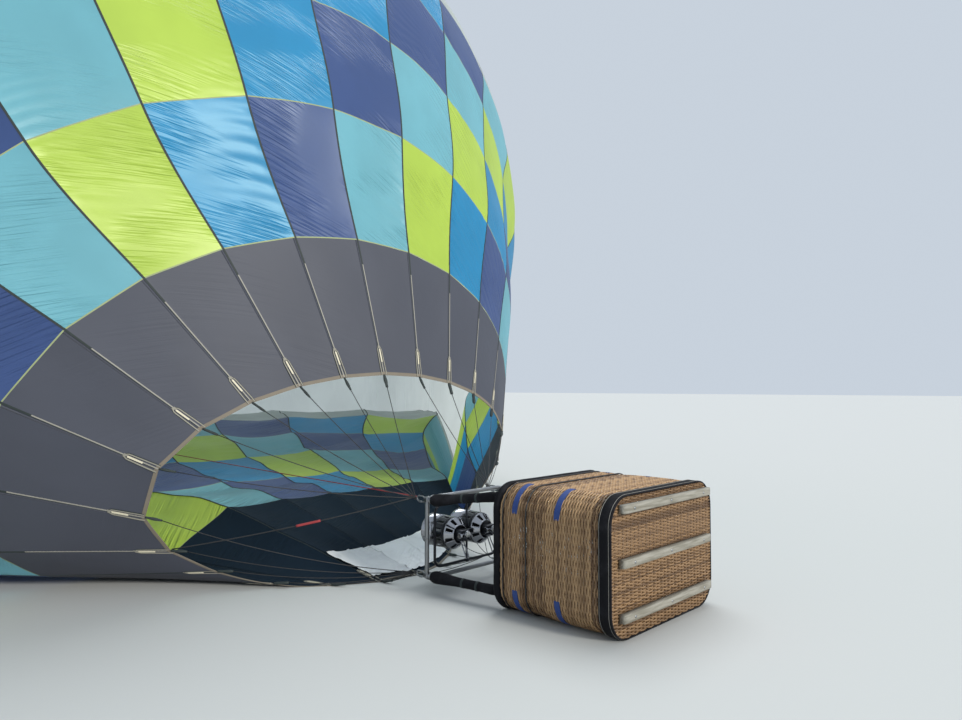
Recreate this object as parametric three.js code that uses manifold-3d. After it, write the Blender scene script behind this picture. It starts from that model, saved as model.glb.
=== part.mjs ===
// A 24-gore hot air balloon on its side during cold inflation: envelope, burner frame and basket.
// Units are millimetres. +X runs from the crown to the basket, +Y across, +Z up, ground at z = 0.
import * as THREE from "three";
import { mergeVertices } from "three/addons/utils/BufferGeometryUtils.js";
import Module from "manifold-3d";

// Driving dimensions of the envelope
const GORES = 24;
const FABRIC = 10;
const SEAM_GAP = 0.3;
const TOP_TAPE = 4.174; // the tape number that would lie exactly on top
const HEM_SPREAD = 1.09; // the upper hem is drawn wider than an even share
const LOBE = 0.03; // how far a gore bulges between its tapes, as a share of its width
const HEM_LIP = 1270; // how far the lower hem is pulled towards the basket
const OVAL_STEPS = 360; // pieces that half an oval is measured in

// Rings from the mouth to the vent. station: distance from the mouth's middle towards the crown.
// low: the lowest point of the full oval, below 0 where the fabric is pressed on the ground.
// lean: shift along the axis for each unit of height. side: shift across. reach: how much further
// from the mouth the lowest part lies. floor: how high the inner floor stands over the ground.
const RINGS = [
  { station: 0, halfWidth: 2080, top: 1860, low: -126, lean: -0.51, side: 0, reach: 0, floor: 0 },
  { station: 600, halfWidth: 2880, top: 3130, low: -925, lean: -0.5, side: -216, reach: 100, floor: 480 },
  { station: 1175, halfWidth: 3640, top: 4320, low: -1285, lean: -0.55, side: -427, reach: 310, floor: 550 },
  { station: 1625, halfWidth: 4110, top: 5450, low: -1470, lean: -0.49, side: -465, reach: 960, floor: 720 },
  { station: 2065, halfWidth: 4500, top: 6530, low: -1570, lean: -0.44, side: -390, reach: 1610, floor: 950 },
  { station: 2470, halfWidth: 5070, top: 7400, low: -1590, lean: -0.355, side: -200, reach: 2360, floor: 1170 },
  { station: 3100, halfWidth: 5620, top: 8280, low: -1570, lean: -0.3, side: -100, reach: 2700, floor: 1220 },
  { station: 3900, halfWidth: 6150, top: 9050, low: -1530, lean: -0.26, side: 0, reach: 2700, floor: 1220 },
  { station: 4850, halfWidth: 6600, top: 9700, low: -1480, lean: -0.22, side: 0, reach: 2500, floor: 1180 },
  { station: 5900, halfWidth: 6950, top: 10200, low: -1420, lean: -0.18, side: 0, reach: 2100, floor: 1100 },
  { station: 7000, halfWidth: 7150, top: 10500, low: -1350, lean: -0.14, side: 0, reach: 1650, floor: 1000 },
  { station: 8100, halfWidth: 7200, top: 10600, low: -1240, lean: -0.1, side: 0, reach: 1250, floor: 850 },
  { station: 9200, halfWidth: 7000, top: 10450, low: -1000, lean: -0.06, side: 0, reach: 800, floor: 700 },
  { station: 10200, halfWidth: 6500, top: 9700, low: -900, lean: -0.03, side: 0, reach: 450, floor: 500 },
  { station: 11100, halfWidth: 5700, top: 8700, low: -650, lean: 0, side: 0, reach: 200, floor: 300 },
  { station: 11850, halfWidth: 4600, top: 7500, low: -250, lean: 0, side: 0, reach: 0, floor: 100 },
  { station: 12350, halfWidth: 3450, top: 6300, low: 450, lean: 0, side: 0, reach: 0, floor: 0 },
  { station: 12650, halfWidth: 2350, top: 5250, low: 1350, lean: 0, side: 0, reach: 0, floor: 0 },
];
const MOUTH_RING = 0;
const BAND_RING = 1;
const VENT_RING = RINGS.length - 1;

// Underside. soft: the share of the sunk depth in which the oval turns into the ground.
// edge: the width in which the floor rises. fullFloor: the floor's height from which the pleat is full.
// The pleat in one gore on the far side goes down to the ground there.
const UNDERSIDE = { soft: 0.78, edge: 450, fullFloor: 300, pleatGore: 11, pleatFill: 40 };

// Apron of white cloth on the lower hem, between two shares of the way from the hem to the gores
const APRON = { fromTape: 14, columns: 6, fromHem: 0.04, toHem: 0.32, lift: 5.5, thickness: 10 };

// Crown
const VENT_TAPE = { thickness: 12, rise: 330, outside: 30, inside: 40, lap: 20, segments: 24 };
const CROWN_RING = { radius: 150, rod: 16, sides: 16 };
const VALVE = { overlap: 150, dome: 260, rimInset: 66, thickness: 10, sides: 32, bands: 4 };

// Burner frame, gimbal and burners, about the gimbal's centre
const FRAME_CENTRE = new THREE.Vector3(1317, 225, 460);
const FRAME = { halfY: 475, halfZ: 340, tube: 19, corner: 70, bush: 50 };
const LUG = { length: 46, radius: 26 };
const KARABINER = { length: 112, width: 60, rod: 6, sides: 12 };
const WIRE = { radius: 4, tip: 1.2, knob: 16, gap: 1.8, lift: 2.5 };
const GIMBAL = { halfY: 385, halfZ: 262, rod: 12, pin: 10, pinGap: 0.4 };
const BURNER = {
  spacing: 330,
  radius: 140,
  can: 150,
  wall: 5,
  coil: 120,
  turns: 4,
  pipe: 22,
  plate: 20,
  bar: 24,
  barHeight: 40,
  barOverhang: 80,
  hub: 36,
  back: 30,
  block: 110,
  blockWidth: 110,
  blockDepth: 90,
  sides: 24,
};
const LEVER = { length: 150, radius: 7, hub: 50 };

// Basket on its side
const BASKET = { rimX: 2074, height: 1103, width: 1450, depth: 1000, corner: 200, centreY: 465, wall: 34 };
const RIM_ROLL = 44;
const RUNNER = { thickness: 50, width: 60, length: 1250, spacing: 370, rise: 40 };
const HIDE = { height: 110, thickness: 12 };
const SOCKET = { radius: 44, length: 60, insetY: 130, insetZ: 130, strut: 40 };
const POLE = 38;
const TANK = { radius: 145, length: 860, edge: 20, shoulder: 60, valves: 62, valvesLength: 80, inset: 201 };

// The group's origin is on the ground, under the middle of the whole
const ORIGIN_X = 4891.5;
const group = new THREE.Group();
group.position.x = ORIGIN_X;

const COLOURS = {
  navy: 0x3c4b82,
  teal: 0x64aab4,
  lime: 0xa0cd46,
  blue: 0x1e78be,
  grey: 0x555864,
  white: 0xe6e8e8,
  tape: 0x96917e,
  steel: 0xc8ccd0,
  black: 0x1c1c1e,
  wicker: 0xb58a50,
  wood: 0xd8b98a,
  wire: 0x2a2a2c,
};

function material(colour, roughness, metalness) {
  return new THREE.MeshStandardMaterial({ color: COLOURS[colour], roughness, metalness });
}

const fabric = (colour) => material(colour, 0.45, 0);
const metal = material("steel", 0.25, 1);
const hide = material("black", 0.6, 0);

function add(name, geometry, surface) {
  const mesh = new THREE.Mesh(geometry, surface);
  mesh.name = name;
  group.add(mesh);
  return mesh;
}

// Joins and cuts
const wasm = await Module();
wasm.setup();

function solidOf(geometry) {
  const bare = geometry.clone();
  bare.deleteAttribute("normal");
  bare.deleteAttribute("uv");
  const merged = mergeVertices(bare, 1e-3);
  return new wasm.Manifold(
    new wasm.Mesh({
      numProp: 3,
      vertProperties: new Float32Array(merged.attributes.position.array),
      triVerts: new Uint32Array(merged.index.array),
    }),
  );
}

function geometryOf(solid) {
  const made = solid.getMesh();
  const geometry = new THREE.BufferGeometry();
  geometry.setAttribute("position", new THREE.BufferAttribute(made.vertProperties, 3));
  geometry.setIndex(new THREE.BufferAttribute(made.triVerts, 1));
  geometry.computeVertexNormals();
  return geometry;
}

function join(geometries) {
  return geometryOf(geometries.map(solidOf).reduce((all, next) => all.add(next)));
}

// Plain shapes
const vec = (x, y, z) => new THREE.Vector3(x, y, z);

function fromFaces(points, faces) {
  const geometry = new THREE.BufferGeometry();
  const flat = points.flatMap((p) => [p.x, p.y, p.z]);
  geometry.setAttribute("position", new THREE.Float32BufferAttribute(flat, 3));
  geometry.setIndex(faces);
  geometry.computeVertexNormals();
  return geometry;
}

function box(centre, size) {
  return new THREE.BoxGeometry(size.x, size.y, size.z).translate(centre.x, centre.y, centre.z);
}

// A rod whose two ends are flat and face along X.
function rod(start, end, startRadius, endRadius, sides = 8) {
  const points = [];
  for (const [centre, radius] of [[start, startRadius], [end, endRadius]]) {
    for (let i = 0; i < sides; i++) {
      const turn = (2 * Math.PI * i) / sides;
      points.push(vec(centre.x, centre.y + radius * Math.cos(turn), centre.z + radius * Math.sin(turn)));
    }
  }
  points.push(start, end);
  const faces = [];
  const outward = end.x > start.x;
  for (let i = 0; i < sides; i++) {
    const next = (i + 1) % sides;
    const quad = [i, next, sides + next, sides + i];
    const wall = [quad[0], quad[1], quad[2], quad[0], quad[2], quad[3]];
    const caps = [2 * sides, next, i, 2 * sides + 1, sides + i, sides + next];
    faces.push(...(outward ? wall : wall.reverse()), ...(outward ? caps : caps.reverse()));
  }
  return fromFaces(points, faces);
}

function cylinder(centre, axis, radius, length, sides = 16) {
  const made = new THREE.CylinderGeometry(radius, radius, length, sides);
  made.applyQuaternion(new THREE.Quaternion().setFromUnitVectors(vec(0, 1, 0), axis));
  return made.translate(centre.x, centre.y, centre.z);
}

// A closed tube through a loop of points that lie in one plane with the given normal.
// Its flats lie at the radius.
function loopTube(loop, normal, radius, sides = 8) {
  const reach = radius / Math.cos(Math.PI / sides);
  const points = [];
  const count = loop.length;
  loop.forEach((point, i) => {
    const along = loop[(i + 1) % count].clone().sub(loop[(i + count - 1) % count]).normalize();
    const across = new THREE.Vector3().crossVectors(along, normal).normalize();
    for (let s = 0; s < sides; s++) {
      const turn = (2 * Math.PI * (s + 0.5)) / sides;
      points.push(
        point
          .clone()
          .addScaledVector(across, reach * Math.cos(turn))
          .addScaledVector(normal, reach * Math.sin(turn)),
      );
    }
  });
  const faces = [];
  for (let i = 0; i < count; i++) {
    for (let s = 0; s < sides; s++) {
      const a = i * sides + s;
      const b = i * sides + ((s + 1) % sides);
      const c = ((i + 1) % count) * sides + ((s + 1) % sides);
      const d = ((i + 1) % count) * sides + s;
      faces.push(a, c, b, a, d, c);
    }
  }
  return fromFaces(points, faces);
}

// A rounded rectangle in the YZ plane, as a list of points at one x, anticlockwise seen from +X.
function roundedLoop(x, centreY, centreZ, halfY, halfZ, corner, steps = 4) {
  const loop = [];
  const corners = [
    { y: 1, z: 1, start: 0 },
    { y: -1, z: 1, start: 0.5 * Math.PI },
    { y: -1, z: -1, start: Math.PI },
    { y: 1, z: -1, start: 1.5 * Math.PI },
  ];
  for (const { y, z, start } of corners) {
    for (let i = 0; i <= steps; i++) {
      const turn = start + (0.5 * Math.PI * i) / steps;
      loop.push(
        vec(
          x,
          centreY + y * (halfY - corner) + corner * Math.cos(turn),
          centreZ + z * (halfZ - corner) + corner * Math.sin(turn),
        ),
      );
    }
  }
  return loop;
}

// Turns an extrusion's plane (x, y, depth) to (y, z, x), starting at xFrom.
function extrudedAlongX(xFrom) {
  return new THREE.Matrix4().set(0, 0, 1, xFrom, 1, 0, 0, 0, 0, 1, 0, 0, 0, 0, 0, 1);
}

// Turns a lathe's height (its Y) to point along -X from the given centre, with its radius scaled in Y and Z.
function turnedAlongX(centre, scaleY = 1, scaleZ = 1) {
  const { x, y, z } = centre;
  return new THREE.Matrix4().set(0, -1, 0, x, scaleY, 0, 0, y, 0, 0, scaleZ, z, 0, 0, 0, 1);
}

// A solid that runs along X between two x values, with a rounded rectangle as its section.
function roundedBar(xFrom, xTo, centreY, centreZ, halfY, halfZ, corner, hole = 0) {
  const shape = new THREE.Shape(
    roundedLoop(0, centreY, centreZ, halfY, halfZ, corner).map((p) => new THREE.Vector2(p.y, p.z)),
  );
  if (hole) {
    const inner = roundedLoop(0, centreY, centreZ, halfY - hole, halfZ - hole, corner - hole);
    shape.holes.push(new THREE.Path(inner.map((p) => new THREE.Vector2(p.y, p.z))));
  }
  const made = new THREE.ExtrudeGeometry(shape, { depth: xTo - xFrom, bevelEnabled: false });
  return made.applyMatrix4(extrudedAlongX(xFrom));
}

// Envelope. The angle from the top at a given share of an oval's edge.
function angleAtShare(halfWidth, halfHeight, share) {
  const lengths = [0];
  for (let i = 0; i < OVAL_STEPS; i++) {
    const turn = (Math.PI * (i + 0.5)) / OVAL_STEPS;
    const piece = Math.hypot(halfWidth * Math.cos(turn), halfHeight * Math.sin(turn));
    lengths.push(lengths[i] + piece);
  }
  const wanted = Math.abs(share) * 2 * lengths[OVAL_STEPS];
  let index = 0;
  while (index < OVAL_STEPS - 1 && lengths[index + 1] < wanted) index++;
  const part = (wanted - lengths[index]) / (lengths[index + 1] - lengths[index]);
  return (Math.sign(share) * Math.PI * (index + part)) / OVAL_STEPS;
}

function smoothStep(value, low, high) {
  const x = Math.min(1, Math.max(0, (value - low) / (high - low)));
  return x * x * (3 - 2 * x);
}

// How full the pleat on the far side is at a ring, from 0 to 1.
function pleatShare(ringIndex) {
  return Math.min(1, RINGS[ringIndex].floor / UNDERSIDE.fullFloor);
}

// How far a point is on the raised floor, from 0 to 1.
function floorShare(ringIndex, tape, turn, centreZ, halfHeight, soft) {
  if (turn > 0) return pleatShare(ringIndex) * smoothStep(tape, UNDERSIDE.pleatGore, UNDERSIDE.pleatGore + 1);
  if (Math.cos(turn) > 0) return 0;
  const { halfWidth } = RINGS[ringIndex];
  const contact = halfWidth * Math.sqrt(Math.max(0, 1 - ((centreZ + soft) / halfHeight) ** 2));
  return smoothStep(contact + halfWidth * Math.sin(turn), 0, UNDERSIDE.edge);
}

// A point of the outer surface on a ring, where tape counts gores from tape 0.
function tapePoint(ringIndex, tape) {
  const ring = RINGS[ringIndex];
  const halfHeight = (ring.top - ring.low) / 2;
  const centreZ = (ring.top + ring.low) / 2;
  let share = (tape - TOP_TAPE) / GORES;
  share -= Math.round(share);
  if (ringIndex === MOUTH_RING) share *= HEM_SPREAD - (HEM_SPREAD - 1) * 2 * Math.abs(share);
  const turn = angleAtShare(ring.halfWidth, halfHeight, share);
  const full = centreZ + halfHeight * Math.cos(turn);
  const soft = Math.max(1e-6, -UNDERSIDE.soft * ring.low);
  const bent = full > soft ? full : (Math.max(full, -soft) + soft) ** 2 / (4 * soft);
  const onFloor = floorShare(ringIndex, tape, turn, centreZ, halfHeight, soft);
  const z = bent * (turn > 0 ? 1 - onFloor : 1) + ring.floor * onFloor;
  const lowShare = Math.min(0, Math.cos(turn)) ** 4;
  let station = ring.station + ring.lean * (bent - centreZ) + ring.reach * (1 - (1 - lowShare) ** 2);
  if (ringIndex === MOUTH_RING) station -= HEM_LIP * lowShare;
  return vec(-station, ring.side + ring.halfWidth * Math.sin(turn), z);
}

// The outward direction at a point of the surface.
function outward(ringIndex, tape) {
  if (tapePoint(ringIndex, tape).z === 0) return vec(0, 0, -1);
  const before = tapePoint(Math.max(0, ringIndex - 1), tape);
  const after = tapePoint(Math.min(VENT_RING, ringIndex + 1), tape);
  const across = tapePoint(ringIndex, tape + 0.5).sub(tapePoint(ringIndex, tape - 0.5));
  return new THREE.Vector3().crossVectors(across, after.sub(before)).normalize();
}

// The surface with each gore's bulge between its tapes.
function surfacePoint(ringIndex, tape) {
  const point = tapePoint(ringIndex, tape);
  const left = Math.floor(tape);
  const share = tape - left;
  if (share > 0) {
    const first = tapePoint(ringIndex, left);
    const second = tapePoint(ringIndex, left + 1);
    point.copy(first).lerp(second, share);
    if (left === UNDERSIDE.pleatGore) {
      point.z *= 1 - pleatShare(ringIndex) * (1 - Math.abs(2 * share - 1));
    } else {
      const lobe = ringIndex === VENT_RING ? 0 : LOBE;
      const bulge = lobe * first.distanceTo(second) * 4 * share * (1 - share);
      point.addScaledVector(outward(ringIndex, tape), bulge);
    }
    point.z = Math.max(0, point.z);
  }
  return point;
}

// The inner face's point behind a point of the surface.
function innerPoint(ringIndex, tape) {
  const point = surfacePoint(ringIndex, tape);
  const inPleat = Math.floor(tape) === UNDERSIDE.pleatGore && tape > UNDERSIDE.pleatGore;
  if (inPleat && pleatShare(ringIndex) > 0) return point.add(vec(0, 0, UNDERSIDE.pleatFill));
  return point.addScaledVector(outward(ringIndex, tape), -FABRIC);
}

// Moves a gore's free edges in by the gap that it keeps to its neighbours.
function trimEdges(rows) {
  for (const row of rows) {
    const inward = row[row.length - 1].clone().sub(row[0]).normalize().multiplyScalar(SEAM_GAP);
    row[0].add(inward);
    row[row.length - 1].sub(inward);
  }
  rows[0].forEach((point, j) => {
    point.addScaledVector(rows[1][j].clone().sub(point).normalize(), SEAM_GAP);
  });
}

// A sheet with two faces, each a grid of points. A closed sheet runs all the way round.
function sheetOf(outer, inner, closed) {
  const rows = outer.length;
  const columns = outer[0].length;
  const points = [...outer.flat(), ...inner.flat()];
  const at = (layer, i, j) => layer * rows * columns + i * columns + (j % columns);
  const faces = [];
  const quad = (a, b, c, d) => faces.push(a, c, b, a, d, c);
  const spans = closed ? columns : columns - 1;
  for (let i = 0; i < rows - 1; i++) {
    for (let j = 0; j < spans; j++) {
      quad(at(0, i, j), at(0, i + 1, j), at(0, i + 1, j + 1), at(0, i, j + 1));
      quad(at(1, i, j), at(1, i, j + 1), at(1, i + 1, j + 1), at(1, i + 1, j));
    }
    if (!closed) {
      quad(at(0, i, 0), at(1, i, 0), at(1, i + 1, 0), at(0, i + 1, 0));
      quad(at(0, i, spans), at(0, i + 1, spans), at(1, i + 1, spans), at(1, i, spans));
    }
  }
  for (let j = 0; j < spans; j++) {
    quad(at(0, 0, j), at(0, 0, j + 1), at(1, 0, j + 1), at(1, 0, j));
    quad(at(0, rows - 1, j), at(1, rows - 1, j), at(1, rows - 1, j + 1), at(0, rows - 1, j + 1));
  }
  return fromFaces(points, faces);
}

// A shell of fabric over rings and tapes.
function shell(rings, tapes, closed) {
  const outer = rings.map((r) => tapes.map((t) => surfacePoint(r, t)));
  const inner = rings.map((r) => tapes.map((t) => innerPoint(r, t)));
  if (!closed) [outer, inner].forEach(trimEdges);
  return sheetOf(outer, inner, closed);
}

const allTapes = Array.from({ length: 2 * GORES }, (_, i) => i / 2);
const goreRings = RINGS.map((_, i) => i).slice(BAND_RING);
const GORE_COLOURS = ["teal", "lime", "blue", "navy"];

function buildEnvelope() {
  add("mouth_band", shell([MOUTH_RING, BAND_RING], allTapes, true), fabric("grey"));
  for (let g = 0; g < GORES; g++) {
    const name = "gore_" + String(g + 1).padStart(2, "0");
    add(name, shell(goreRings, [g, g + 0.5, g + 1], false), fabric(GORE_COLOURS[g % 4]));
  }
}

buildEnvelope();

// The white apron lies inside the lower hem, on the floor of the mouth band.
function buildApron() {
  const tapes = Array.from({ length: APRON.columns + 1 }, (_, i) => APRON.fromTape + i / 2);
  const layer = (height) =>
    [APRON.fromHem, APRON.toHem].map((share) =>
      tapes.map((t) => {
        const point = innerPoint(MOUTH_RING, t).lerp(innerPoint(BAND_RING, t), share);
        return point.add(vec(0, 0, height));
      }),
    );
  add("mouth_apron", sheetOf(layer(APRON.lift), layer(APRON.lift + APRON.thickness), false), fabric("white"));
}

// Crown: a rim tape round the vent, a small ring in the middle and one tape from each gore seam.
function buildCrown() {
  const ring = RINGS[VENT_RING];
  const centreZ = (ring.top + ring.low) / 2;
  const halfHeight = (ring.top - ring.low) / 2;
  const rimX = -ring.station - SEAM_GAP - VENT_TAPE.thickness;
  const tip = vec(rimX - VENT_TAPE.rise, 0, centreZ);
  const outerOval = new THREE.Shape();
  const { outside, inside, thickness, segments } = VENT_TAPE;
  outerOval.absellipse(0, centreZ, ring.halfWidth + outside, halfHeight + outside, 0, 2 * Math.PI);
  const innerOval = new THREE.Path();
  innerOval.absellipse(0, centreZ, ring.halfWidth - inside, halfHeight - inside, 0, 2 * Math.PI);
  outerOval.holes.push(innerOval);
  const rimSettings = { depth: thickness, bevelEnabled: false, curveSegments: segments };
  const rim = new THREE.ExtrudeGeometry(outerOval, rimSettings).applyMatrix4(extrudedAlongX(rimX));
  const circle = Array.from({ length: CROWN_RING.sides }, (_, i) => {
    const turn = (2 * Math.PI * i) / CROWN_RING.sides;
    return vec(tip.x, CROWN_RING.radius * Math.cos(turn), centreZ + CROWN_RING.radius * Math.sin(turn));
  });
  const pieces = [rim, loopTube(circle, vec(1, 0, 0), CROWN_RING.rod, 6)];
  for (let tape = 0; tape < GORES; tape++) {
    const edge = tapePoint(VENT_RING, tape);
    const direction = vec(0, edge.y, edge.z - centreZ).normalize();
    const start = vec(rimX + thickness / 2, edge.y, edge.z).addScaledVector(direction, -VENT_TAPE.lap);
    const end = tip.clone().addScaledVector(direction, CROWN_RING.radius);
    pieces.push(rod(end, start, thickness / 2, thickness / 2, 4));
  }
  add("crown_tapes", join(pieces), fabric("tape"));
}

// The parachute valve is a shallow dome of cloth held against the inside of the vent's edge.
function buildValve() {
  const ring = RINGS[VENT_RING];
  const centreZ = (ring.top + ring.low) / 2;
  const halfWidth = ring.halfWidth + VALVE.overlap;
  const halfHeight = (ring.top - ring.low) / 2 + VALVE.overlap;
  const rimX = -ring.station + VALVE.rimInset;
  const profile = [];
  for (let i = 0; i <= VALVE.bands; i++) {
    profile.push(new THREE.Vector2(i / VALVE.bands, VALVE.dome * (1 - (i / VALVE.bands) ** 2)));
  }
  const inner = profile.map((p) => new THREE.Vector2(p.x, p.y - VALVE.thickness));
  const made = new THREE.LatheGeometry([...profile, ...inner.reverse()].reverse(), VALVE.sides);
  made.applyMatrix4(turnedAlongX(vec(rimX, 0, centreZ), halfWidth, halfHeight));
  add("parachute_valve", made, fabric("white"));
}

buildApron();
buildCrown();
buildValve();

// Burner frame: a rectangle of tube with a lug at each corner and a bush for the gimbal's pins.
const quadrants = [
  { name: "near_top", y: -1, z: 1 },
  { name: "far_top", y: 1, z: 1 },
  { name: "near_low", y: -1, z: -1 },
  { name: "far_low", y: 1, z: -1 },
];

function frameCorner({ y, z }) {
  return FRAME_CENTRE.clone().add(vec(0, y * FRAME.halfY, z * FRAME.halfZ));
}

function buildBurnerFrame() {
  const { x, y, z } = FRAME_CENTRE;
  const loop = roundedLoop(x, y, z, FRAME.halfY, FRAME.halfZ, FRAME.corner);
  const pieces = [loopTube(loop, vec(1, 0, 0), FRAME.tube)];
  for (const quadrant of quadrants) {
    const inset = FRAME.corner * (1 - Math.SQRT1_2);
    const corner = frameCorner(quadrant).add(vec(0, -quadrant.y * inset, -quadrant.z * inset));
    pieces.push(cylinder(corner, vec(1, 0, 0), LUG.radius, 2 * LUG.length));
  }
  for (const side of [-1, 1]) {
    const centre = vec(x, y + side * (FRAME.halfY - FRAME.tube), z);
    pieces.push(box(centre, vec(FRAME.bush, FRAME.bush / 2, FRAME.bush)));
  }
  add("burner_frame", join(pieces), metal);
}

// Flying wires: six from each corner to the nearest quarter of the hem, joined at one knob.
function hemQuarter({ y, z }) {
  const tapes = [];
  for (let tape = 0; tape < GORES; tape++) {
    const share = ((((tape - TOP_TAPE) / GORES) % 1) + 1.5) % 1 - 0.5;
    const right = share > 0;
    const high = Math.abs(share) < 0.25;
    if (right === y > 0 && high === z > 0) tapes.push(tape);
  }
  return tapes;
}

function cornerAnchor(quadrant) {
  const inset = FRAME.corner * (1 - Math.SQRT1_2);
  return frameCorner(quadrant).add(vec(-LUG.length - SEAM_GAP, -quadrant.y * inset, -quadrant.z * inset));
}

function buildRigging() {
  for (const quadrant of quadrants) {
    const anchor = cornerAnchor(quadrant);
    const half = KARABINER.length / 2;
    const centre = anchor.clone().add(vec(-half, 0, 0));
    const loop = [];
    const reach = half - KARABINER.rod - KARABINER.width / 2;
    for (let i = 0; i < KARABINER.sides; i++) {
      const turn = (2 * Math.PI * i) / KARABINER.sides;
      const across = (KARABINER.width / 2 - KARABINER.rod) * Math.cos(turn);
      const along = Math.sign(Math.sin(turn)) * reach + (KARABINER.width / 2) * Math.sin(turn);
      loop.push(centre.clone().add(vec(along, 0, across)));
    }
    add("karabiner_" + quadrant.name, loopTube(loop, vec(0, 1, 0), KARABINER.rod, 6), metal);
    const knob = anchor.clone().add(vec(-KARABINER.length - WIRE.knob - SEAM_GAP, 0, 0));
    const pieces = [cylinder(knob, vec(1, 0, 0), WIRE.knob, 2 * WIRE.knob)];
    for (const tape of hemQuarter(quadrant)) {
      const hem = tapePoint(MOUTH_RING, tape);
      hem.addScaledVector(outward(MOUTH_RING, tape), -FABRIC / 2);
      const away = hem.clone().sub(tapePoint(BAND_RING, tape)).normalize();
      const pull = knob.clone().sub(hem).normalize();
      const end = hem.addScaledVector(away.add(pull).normalize(), WIRE.tip + WIRE.gap);
      if (quadrant.z < 0) end.z += WIRE.lift;
      pieces.push(rod(knob, end, WIRE.radius, WIRE.tip, 6));
    }
    add("flying_wires_" + quadrant.name, join(pieces), material("wire", 0.5, 0.6));
  }
}

buildBurnerFrame();
buildRigging();

// Gimbal ring, which tilts in the frame about Y, and carries the burners, which tilt in it about Z.
function buildGimbal() {
  const { x, y, z } = FRAME_CENTRE;
  const loop = roundedLoop(x, y, z, GIMBAL.halfY, GIMBAL.halfZ, FRAME.corner);
  const pieces = [loopTube(loop, vec(1, 0, 0), GIMBAL.rod)];
  const pinEnd = FRAME.halfY - FRAME.tube - FRAME.bush / 4 - GIMBAL.pinGap;
  const pinLength = pinEnd - GIMBAL.halfY;
  for (const side of [-1, 1]) {
    const centre = vec(x, y + side * (GIMBAL.halfY + pinLength / 2), z);
    pieces.push(cylinder(centre, vec(0, 1, 0), GIMBAL.pin, pinLength));
    const seat = vec(x, y, z + side * GIMBAL.halfZ);
    pieces.push(box(seat, vec(3 * GIMBAL.rod, 3 * GIMBAL.rod, 2 * GIMBAL.rod)));
  }
  add("gimbal_ring", join(pieces), metal);
}

function buildBurners() {
  const { x, y, z } = FRAME_CENTRE;
  const barX = x + BURNER.back;
  const pinEnd = GIMBAL.halfZ - GIMBAL.rod - GIMBAL.pinGap;
  const bar = [
    box(vec(barX, y, z), vec(BURNER.bar, BURNER.spacing + 2 * BURNER.barOverhang, BURNER.barHeight)),
    cylinder(vec(x, y, z), vec(0, 0, 1), GIMBAL.pin, 2 * pinEnd),
    box(vec((x + barX) / 2, y, z), vec(BURNER.back + BURNER.bar, BURNER.hub, BURNER.hub)),
  ];
  const plateX = barX - BURNER.bar / 2 - BURNER.plate / 2 + 1;
  const coilX = plateX - BURNER.plate / 2 - SEAM_GAP;
  const canX = coilX - BURNER.coil - SEAM_GAP;
  for (const [index, side] of [-1, 1].entries()) {
    const centreY = y + (side * BURNER.spacing) / 2;
    const number = index + 1;
    const blockX = barX + BURNER.bar / 2 + SEAM_GAP + BURNER.block / 2;
    const leverTop = z - BURNER.blockDepth / 2;
    const block = join([
      box(vec(blockX, centreY, z), vec(BURNER.block, BURNER.blockWidth, BURNER.blockDepth)),
      cylinder(vec(blockX, centreY, leverTop), vec(0, 1, 0), 2 * LEVER.radius, LEVER.hub),
      cylinder(vec(blockX, centreY, leverTop - LEVER.length / 2), vec(0, 0, 1), LEVER.radius, LEVER.length),
    ]);
    add("burner_block_" + number, block, metal);
    // The base plate with the jets is one with the bar
    bar.push(cylinder(vec(plateX, centreY, z), vec(1, 0, 0), BURNER.radius, BURNER.plate, BURNER.sides));
    const towardsMouth = (fromX) => turnedAlongX(vec(fromX, centreY, z));
    const coil = new THREE.LatheGeometry(coilProfile(), BURNER.sides).applyMatrix4(towardsMouth(coilX));
    add("burner_coil_" + number, coil, metal);
    const inside = BURNER.radius - BURNER.wall;
    const canProfile = [
      new THREE.Vector2(inside, 0),
      new THREE.Vector2(BURNER.radius, 0),
      new THREE.Vector2(BURNER.radius, BURNER.can),
      new THREE.Vector2(inside, BURNER.can),
      new THREE.Vector2(inside, 0),
    ];
    const can = new THREE.LatheGeometry(canProfile, BURNER.sides).applyMatrix4(towardsMouth(canX));
    add("burner_can_" + number, can, metal);
  }
  add("burner_bar", join(bar), metal);
}

function coilProfile() {
  const pitch = BURNER.coil / BURNER.turns;
  const inside = BURNER.radius - BURNER.pipe;
  const valley = BURNER.radius - BURNER.pipe / 4;
  const outline = [new THREE.Vector2(inside, 0)];
  for (let i = 0; i < BURNER.turns; i++) {
    outline.push(new THREE.Vector2(valley, i * pitch));
    outline.push(new THREE.Vector2(BURNER.radius, (i + 0.5) * pitch));
  }
  outline.push(new THREE.Vector2(valley, BURNER.coil));
  outline.push(new THREE.Vector2(inside, BURNER.coil));
  outline.push(new THREE.Vector2(inside, 0));
  return outline;
}

buildGimbal();
buildBurners();

// Basket
const basketCentreZ = BASKET.depth / 2;
const baseX = BASKET.rimX + BASKET.height;

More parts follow.
